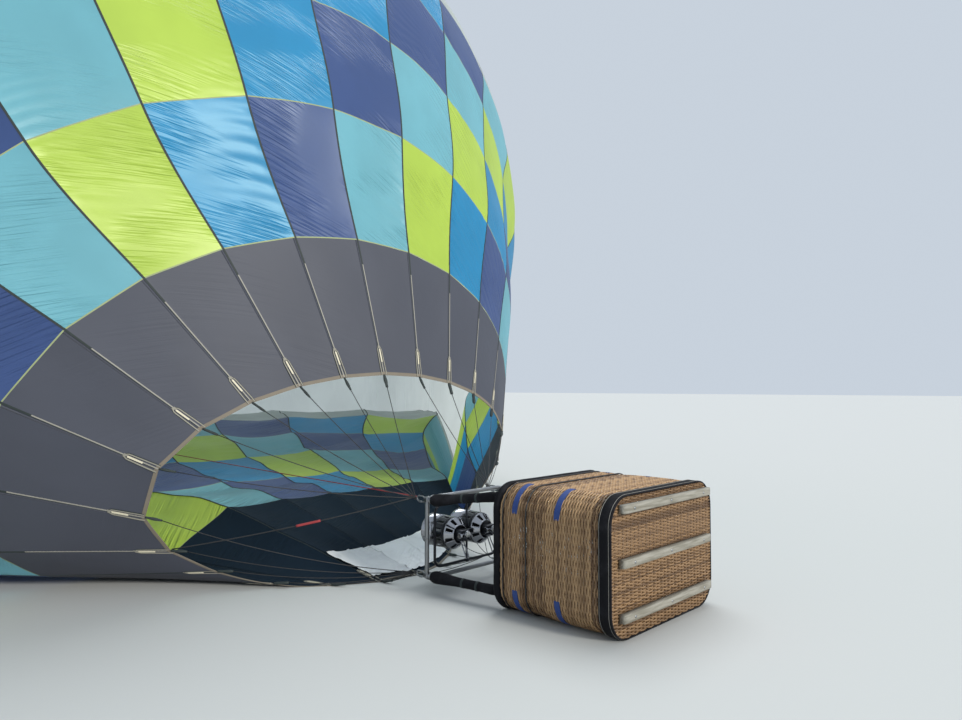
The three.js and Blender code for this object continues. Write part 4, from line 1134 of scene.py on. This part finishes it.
def build_rim():
    shape = Shape()
    loop, outs = basket_loop(BASKET["rim_x"] + RIM_ROLL, RIM_ROLL, BASKET["corner"] - RIM_ROLL, 240)
    lumps = 1 + RIM_LUMPS * noise(loop * 9, 1, SEEDS["rim"])
    tube(shape, loop, RIM_ROLL * lumps, 18, closed=True, up=ALONG)
    seam = loop + (outs + ALONG) * RIM_ROLL * RIM_SEAM["at"]
    tube(shape, seam, RIM_SEAM["radius"], 6, closed=True, up=ALONG)
    reach, radius = SOCKET["length"] / 2 + RIM_ROLL, SOCKET["radius"]
    lip, shoulder = radius - SOCKET["lip"], reach - SOCKET["cut"]
    socket = [(-reach, lip), (-shoulder, radius), (shoulder, radius), (reach, lip)]
    strut = SOCKET["inset"] - RIM_ROLL
    for y, z in QUADRANTS.values():
        lathe(shape, socket, socket_centre(y, z), sides=28)
        block(shape, socket_centre(y, z) + (0, y * strut / 2, 0), (RIM_ROLL, strut, SOCKET["strut"]))
    piece(shape, "basket_rim_padding", ["black_hide"], "basket_rim")


HIDE_SEAMS = {"from_top": 0.012, "from_base": 0.02, "radius": 0.0018, "sunk": 0.002}


def build_hide_edge():
    shape = Shape()
    points, outs = basket_loop(BASKET["base_x"], 0, BASKET["corner"] + HIDE["thickness"], 200)
    top, thick = -HIDE["height"], HIDE["thickness"]
    profile = [(top, -thick), (top, -0.006), (top + 0.004, -0.003), (-0.006, -0.002), (-0.0005, -0.008),
               (-0.0005, -thick)]
    sweep_loop(shape, points, outs, profile)
    for row in (top + HIDE_SEAMS["from_top"], -HIDE_SEAMS["from_base"]):
        seam = points - outs * HIDE_SEAMS["sunk"] + (row, 0, 0)
        tube(shape, seam, HIDE_SEAMS["radius"], 4, closed=True, up=ALONG, slot=1)
    piece(shape, "base_hide_edge", ["black_hide", "tape_grey"], "base_hide")


RUNNER_WEAR = {"taper": 0.25, "taper_from": 0.95, "depth": 0.0012, "rows": 30}
BOLTS = {"at": (-0.5, 0, 0.5), "gap": 0.0005}


def build_runners():
    half = np.array((RUNNER["thickness"], RUNNER["length"], RUNNER["width"])) / 2
    section = np.array([(-1, -0.86), (-0.9, -1), (0.8, -1), (1, -0.78), (1, 0.78), (0.8, 1), (-0.9, 1),
                        (-1, 0.86)])
    rows = RUNNER_WEAR["rows"]
    ends = np.linspace(-1, 1, rows)
    taper = 1 - RUNNER_WEAR["taper"] * rise(np.abs(ends), RUNNER_WEAR["taper_from"], 1)
    bolt = [(0, 0.011), (0.002, 0.010), (0.0035, 0.004)]
    for i in range(3):
        centre = basket_at(BASKET["base_x"] + half[0], 0, RUNNER["rise"] + (i - 1) * RUNNER["spacing"])
        along = np.stack([ends * 9, np.full(rows, i), np.zeros(rows)], -1)
        wear = RUNNER_WEAR["depth"] * noise(along, 1, SEEDS["runner"])
        # Only the outer face tapers at its ends and is worn
        x = section[:, 0] * half[0] * np.where(section[:, 0] > 0, taper[:, None], 1)
        x = x + np.where(section[:, 0] > 0, wear[:, None], 0)
        grid = np.stack(np.broadcast_arrays(x, (ends * half[1])[:, None], section[:, 1] * half[2]), -1)
        shape = Shape()
        shape.skin(grid + centre, ends=True, flip=True)
        for y in BOLTS["at"]:
            lathe(shape, bolt, centre + (half[0] + BOLTS["gap"], y, 0), sides=14, slot=1)
        node = "runner_%d" % (i + 1)
        piece(shape, node + "_board", ["wood", "steel"], node)


def corner_strip(shape, x, lift):
    """A strap over each rounded corner of the basket, that goes through the wicker at both ends."""
    half = [BASKET[key] - HIDE["thickness"] + lift for key in ("half_y", "half_z")]
    radius = BASKET["corner"] + lift
    side = np.array((STRAP["width"] / 2, 0, 0))
    for middle, turns in quarter_arcs(half, radius, 16):
        outs = circle(turns, 1)
        arc = basket_at(x) + middle + outs * radius
        along = unit(np.gradient(arc, axis=0))
        first = arc[0] - outs[0] * STRAP["end_in"] - along[0] * STRAP["end_on"]
        last = arc[-1] - outs[-1] * STRAP["end_in"] + along[-1] * STRAP["end_on"]
        path = np.vstack([first, arc, last])
        over = np.vstack([outs[:1], outs, outs[-1:]]) * STRAP["thickness"]
        ring = np.stack([path - side, path + side, path + side + over, path - side + over], 1)
        ring[..., 2] = np.maximum(ring[..., 2], STRAP["lift"])
        shape.skin(ring, ends=True)


def build_straps():
    straps, cords = Shape(), Shape()
    for x in STRAPS_AT:
        corner_strip(straps, x, wall_bulge(x) - STRAP["sunk"])
    for x in CORDS_AT:
        points, outs = basket_loop(x, CORD["inset"], BASKET["corner"] + CORD["out"], 160)
        tube(cords, points + outs * CORD["out"], CORD["radius"], 8, closed=True, up=ALONG)
    piece(straps, "tank_straps", ["strap_blue"], smooth=False)
    piece(cords, "basket_cords", ["cable"])


def build_tanks():
    radius, length = TANK["radius"], TANK["length"]
    groove = radius - 0.003
    profile = [(0, radius * 0.84), (-0.004, radius * 0.92), (-0.02, radius), (-length * 0.31, radius)]
    profile += [(-length * 0.315, groove), (-length * 0.325, groove), (-length * 0.33, radius)]
    profile += [(-length + 0.06 - 0.06 * math.sin(t), 0.07 + (radius - 0.07) * math.cos(t))
                for t in np.linspace(0, np.pi / 2, 9)]
    under, over, half = radius + 0.001, radius + 0.004, STRAP["width"] / 2
    belt = [(-half, under), (-half, over), (half, over), (half, under)]
    fittings = (
        # profile, offset from the tank's top, sides, slot
        ([(0.0, 0.062), (-0.05, 0.062), (-0.056, 0.055), (-0.056, 0.046), (-0.01, 0.046)], (0, 0, 0), 32, 0),
        ([(0.0, 0.018), (-0.05, 0.018), (-0.06, 0.014)], (0, 0.02, 0), 16, 1),
        ([(-0.012, 0.024), (0.012, 0.024)], (-0.066, 0.02, 0), 24, 2),
        ([(0.0, 0.012), (-0.06, 0.012)], (0, -0.025, 0.01), 12, 1),
    )
    for i, (y, z) in enumerate(((-1, -1), (1, -1), (-1, 1), (1, 1))):
        foot = basket_at(BASKET["base_x"] - TANK["foot"], y * (BASKET["half_y"] - TANK["inset"]),
                         z * (BASKET["half_z"] - TANK["inset"]))
        shape = Shape()
        lathe(shape, profile, foot, sides=48)
        for part, offset, sides, slot in fittings:
            lathe(shape, part, foot - (length, 0, 0) + offset, sides=sides, slot=slot)
        for share in (0.28, 0.66):
            lathe(shape, belt, foot - (length * share, 0, 0), sides=48, slot=3, closed=True)
        node = "fuel_tank_%d" % (i + 1)
        piece(shape, node + "_shell", ["aluminium", "brass", "rubber", "strap_blue"], node)


# Flying wires from the hem to the frame, with a sleeve at the hem and a karabiner at each corner
SLEEVE = {"length": 0.13, "radius": 0.019, "height": 0.014, "off_hem": 0.004, "over_hem": 0.006, "flat": 0.6}
WIRE = {"radius": 0.0036, "top_sag": 0.02, "low_sag": 0.035, "height": 0.006}
KNOT = 0.012


def hem_quarter(y, z):
    """The tapes whose wires go to one corner of the frame."""
    tapes = []
    for tape in range(GORES):
        share = ((tape - TOP_TAPE) / GORES + 0.5) % 1 - 0.5
        if (share > 0) == (y > 0) and (abs(share) < 0.25) == (z > 0):
            tapes.append(tape)
    return tapes


def build_karabiner(name, anchor):
    length, half_width, radius = KARABINER["length"], KARABINER["width"] / 2, KARABINER["rod"]
    middle = anchor - (length / 2, 0, 0)
    turns = circle_turns(KARABINER["points"])
    across = (half_width - radius) * np.cos(turns)
    along = np.sign(np.sin(turns)) * (length / 2 - radius - half_width) + half_width * np.sin(turns)
    loop = middle + np.stack([along, np.zeros(len(turns)), across], -1)
    shape = Shape()
    tube(shape, loop, radius, 10, closed=True, up=ACROSS)
    rod(shape, middle - (0, 0, across.max()), KARABINER["gate"], KARABINER["gate_rod"], sides=6)
    piece(shape, "karabiner_%s_link" % name, ["steel"], "karabiner_" + name)


def build_wires(name, anchor, y, z):
    shape = Shape()
    knot = anchor - (KARABINER["length"] + KNOT, 0, 0)
    lathe(shape, [(-0.02, 0.006), (-0.014, 0.013), (0.014, 0.013), (0.02, 0.006)], knot, sides=14)
    for tape in hem_quarter(y, z):
        hem = tape_point(0, tape)
        away = unit(unit(hem - tape_point(0.1, tape)) + unit(knot - hem))
        start = hem + away * SLEEVE["off_hem"] + (0, 0, SLEEVE["over_hem"])
        sleeve_end = start + unit(away + unit(knot - start)) * SLEEVE["length"]
        sleeve_end[2] = max(sleeve_end[2], SLEEVE["height"])
        path = sagging(start, sleeve_end, 0, 9)
        path[:, 2] = np.maximum(path[:, 2], SLEEVE["height"])
        t = np.linspace(0, 1, 9)
        swell = SLEEVE["radius"] * (0.75 + 0.25 * np.sin(np.pi * t) + 0.10 * np.sin(9 * t + tape))
        tube(shape, path, swell, 8, slot=1, flat=SLEEVE["flat"])
        sag = WIRE["top_sag"] if z > 0 else WIRE["low_sag"]
        line = sagging(sleeve_end, knot, sag * np.linalg.norm(knot - sleeve_end))
        line[:, 2] = np.maximum(line[:, 2], WIRE["height"])
        tube(shape, line, WIRE["radius"], 6)
    piece(shape, "flying_wires_%s_cables" % name, ["cable", "tape_dark"], "flying_wires_" + name)


def build_rigging():
    for name, (y, z) in QUADRANTS.items():
        anchor = frame_corner(y, z, -LUG["length"] - GAP)
        build_karabiner(name, anchor)
        build_wires(name, anchor, y, z)


# Apron of white cloth on the lower hem
APRON = {"first_gore": 14, "gores": 3, "from_hem": 0.04, "to_hem": 0.32, "lift": 0.014, "crease": 0.016,
         "ridge_size": 0.30, "fine_size": 0.16}


def build_apron():
    rows = np.linspace(APRON["from_hem"], APRON["to_hem"], 70)
    shares = np.linspace(0, 1, 41)
    strips = []
    for i in range(APRON["gores"]):
        strip, places = cloth(rows, APRON["first_gore"] + i, shares)
        keep = slice(None) if i == APRON["gores"] - 1 else slice(0, -1)
        strips.append((strip[:, keep], places[:, keep] + (0, i, 0)))
    points, places = (np.concatenate(part, axis=1) for part in zip(*strips))
    ridge = 1 - np.abs(noise(points * (1, 2.2, 0), APRON["ridge_size"], SEEDS["apron"]))
    fine = 1 - np.abs(noise(points * (2.2, 1, 0), APRON["fine_size"], SEEDS["apron_fine"]))
    points[..., 2] += APRON["lift"] + APRON["crease"] * (ridge**8 + 0.5 * fine**6)
    shape = Shape()
    shape.skin(points, 0, places, around=False, flip=True)
    made = piece(shape, "mouth_apron_cloth", ["apron"], "mouth_apron")


# Crown: the rim's tape, the straps that cross the vent, the crown ring and the valve behind them
VENT = {"rim": 12.6563, "tip": 12.9923, "ring": 0.15, "rope": 0.014, "outside": 0.03, "inside": 0.04,
        "half": 0.003, "strap": 0.016, "strap_flat": 0.14, "strap_in": 0.012, "strap_out": 0.01}
VALVE = {"rim": 12.584, "half_y": 2.5, "half_z": 2.1, "dome": 0.26, "lobe": 0.02, "turn_in": 0.03}
VALVE_MESH = {"per_gore": 10, "rings": 30}


def vent_oval():
    """Half the width and height of the vent, and the height of its middle."""
    _, half_y, top, low = RINGS[VENT_RING][:4]
    return half_y, (top - low) / 2, (top + low) / 2


def build_crown():
    half_y, half_z, centre_z = vent_oval()
    shape = Shape()
    turns = circle_turns(192)
    rim = place(-VENT["rim"], 0, centre_z) + circle(turns, half_y, half_z)
    half, outside, inside = VENT["half"], VENT["outside"], -VENT["inside"]
    section = [(half, inside), (half, outside), (-half, outside), (-half, inside)]
    sweep_loop(shape, rim, unit(circle(turns, half_z, half_y)), section)
    tip = place(-VENT["tip"], 0, centre_z)
    for edge in ring_line(RINGS[VENT_RING], np.arange(GORES, dtype=float))[0]:
        direction = unit((0, edge[1], edge[2] - centre_z))
        start = tip + direction * (VENT["ring"] - VENT["strap_in"])
        end = place(-VENT["rim"], edge[1], edge[2]) + direction * VENT["strap_out"]
        tube(shape, sagging(start, end, 0), VENT["strap"], 4, flat=VENT["strap_flat"], up=ALONG, slot=1)
    tube(shape, tip + circle(circle_turns(64), VENT["ring"]), VENT["rope"], 14, closed=True, slot=2, up=ALONG)
    piece(shape, "crown_tapes_and_ring", ["tape_pale", "tape_dark", "aluminium"], "crown_tapes")


def build_valve():
    _, _, centre_z = vent_oval()
    count = GORES * VALVE_MESH["per_gore"]
    turns = circle_turns(count)
    r = np.linspace(0.02, 1, VALVE_MESH["rings"])[:, None]
    lobe = np.abs(np.sin(turns * GORES / 2)) * VALVE["lobe"] * np.sin(np.pi * r)
    x = ORIGIN_X - VALVE["rim"] - (VALVE["dome"] * (1 - r**2) - 0.01 * lobe) - lobe
    y = VALVE["half_y"] * r * np.cos(turns)
    z = centre_z + VALVE["half_z"] * r * np.sin(turns)
    points = np.stack([x, y, z], -1)
    edge = np.abs((turns * GORES / (2 * np.pi) + 0.5) % 1 - 0.5) * r * 0.6
    places = np.stack(np.broadcast_arrays(r * 2.4, turns * 2, edge), -1)
    shape = Shape()
    faces = grid_faces(VALVE_MESH["rings"], count, around=True)
    shape.add(points, faces, 0, places, caps=[np.arange(count)[::-1]])
    made = piece(shape, "parachute_valve_cloth", ["white"], "parachute_valve", "vent")


# Taut lines other than the flying wires: a stay with a red sleeve, and the valve's line
STAY = {"tape": 21, "off": (0.02, 0, 0.02), "radius": 0.005, "sag": 0.03, "sleeve": 0.011}
VALVE_LINE = {"tape": 19, "off": (0.05, 0.02, 0.06), "radius": 0.0045, "sag": 0.05}
VALVE_LINE_RING = VENT_RING - 0.6


def build_lines():
    corner = frame_corner(-1, 1, -LUG["length"] - KARABINER["length"] - KNOT)
    ends = (tape_point(0, STAY["tape"]) + STAY["off"], corner + (0, 0, 0.01))
    stay, line = Shape(), Shape()
    tube(stay, sagging(*ends, STAY["sag"]), STAY["radius"], 6)
    tube(stay, sagging(*ends, STAY["sag"], 101)[50:61], STAY["sleeve"], 8, slot=1)
    piece(stay, "sleeved_stay", ["cable", "cord_red"])
    start = cloth([VALVE_LINE_RING], VALVE_LINE["tape"], [0.0])[0][0, 0]
    path = sagging(start + VALVE_LINE["off"], corner + (0, 0.01, 0.012), VALVE_LINE["sag"], 40)
    tube(line, path, VALVE_LINE["radius"], 6)
    piece(line, "valve_line", ["cord_red"])


build_gores()
build_band()
build_hem()
build_tapes()
build_burner_frame()
build_gimbal()
for number, side in ((1, -1), (2, 1)):
    build_coil(number, side)
    build_can(number, side)
    build_valve_block(number, side)
build_burner_bar()
build_poles()
build_basket_wall()
build_basket_floor()
build_rim()
build_hide_edge()
build_runners()
build_straps()
build_tanks()
build_rigging()
build_apron()
build_crown()
build_valve()
build_lines()


# Floor, light and camera
def build_stage():
    floor = Shape()
    half = STUDIO_FLOOR["half"]
    floor.add([(-half, -half, 0), (half, -half, 0), (half, half, 0), (-half, half, 0)], [[0, 1, 2, 3]])
    look = Look("floor")
    look.fill(look.shader, {"Base Color": STUDIO_FLOOR["colour"], "Roughness": STUDIO_FLOOR["roughness"]})
    floor.build("studio_floor", [look.material], smooth=False)
    scene = bpy.context.scene
    scene.world = bpy.data.worlds.new("studio")
    scene.world.use_nodes = True
    background = scene.world.node_tree.nodes["Background"]
    background.inputs["Color"].default_value = SKY["colour"]
    background.inputs["Strength"].default_value = SKY["strength"]
    for name, (x, y, z), strength, width, colour in LIGHTS:
        lamp = bpy.data.lights.new(name, "SUN")
        lamp.energy, lamp.angle, lamp.color = strength, math.radians(width), colour
        height = math.atan2(z, math.hypot(x, y))
        add_object(name, lamp).rotation_euler = (math.pi / 2 - height, 0, math.atan2(y, x) + math.pi / 2)
    scene.view_settings.view_transform = "Standard"


def build_camera():
    camera = bpy.data.cameras.new("camera")
    camera.lens, camera.sensor_width, camera.clip_end = CAMERA["lens"], CAMERA["sensor"], CAMERA["end"]
    holder = add_object("camera", camera)
    holder.location = CAMERA["place"]
    pitch, heading = math.radians(CAMERA["pitch"]), math.radians(CAMERA["heading"])
    holder.rotation_euler = (math.pi / 2 + pitch, 0, heading - math.pi / 2)
    bpy.context.scene.camera = holder


build_stage()
build_camera()
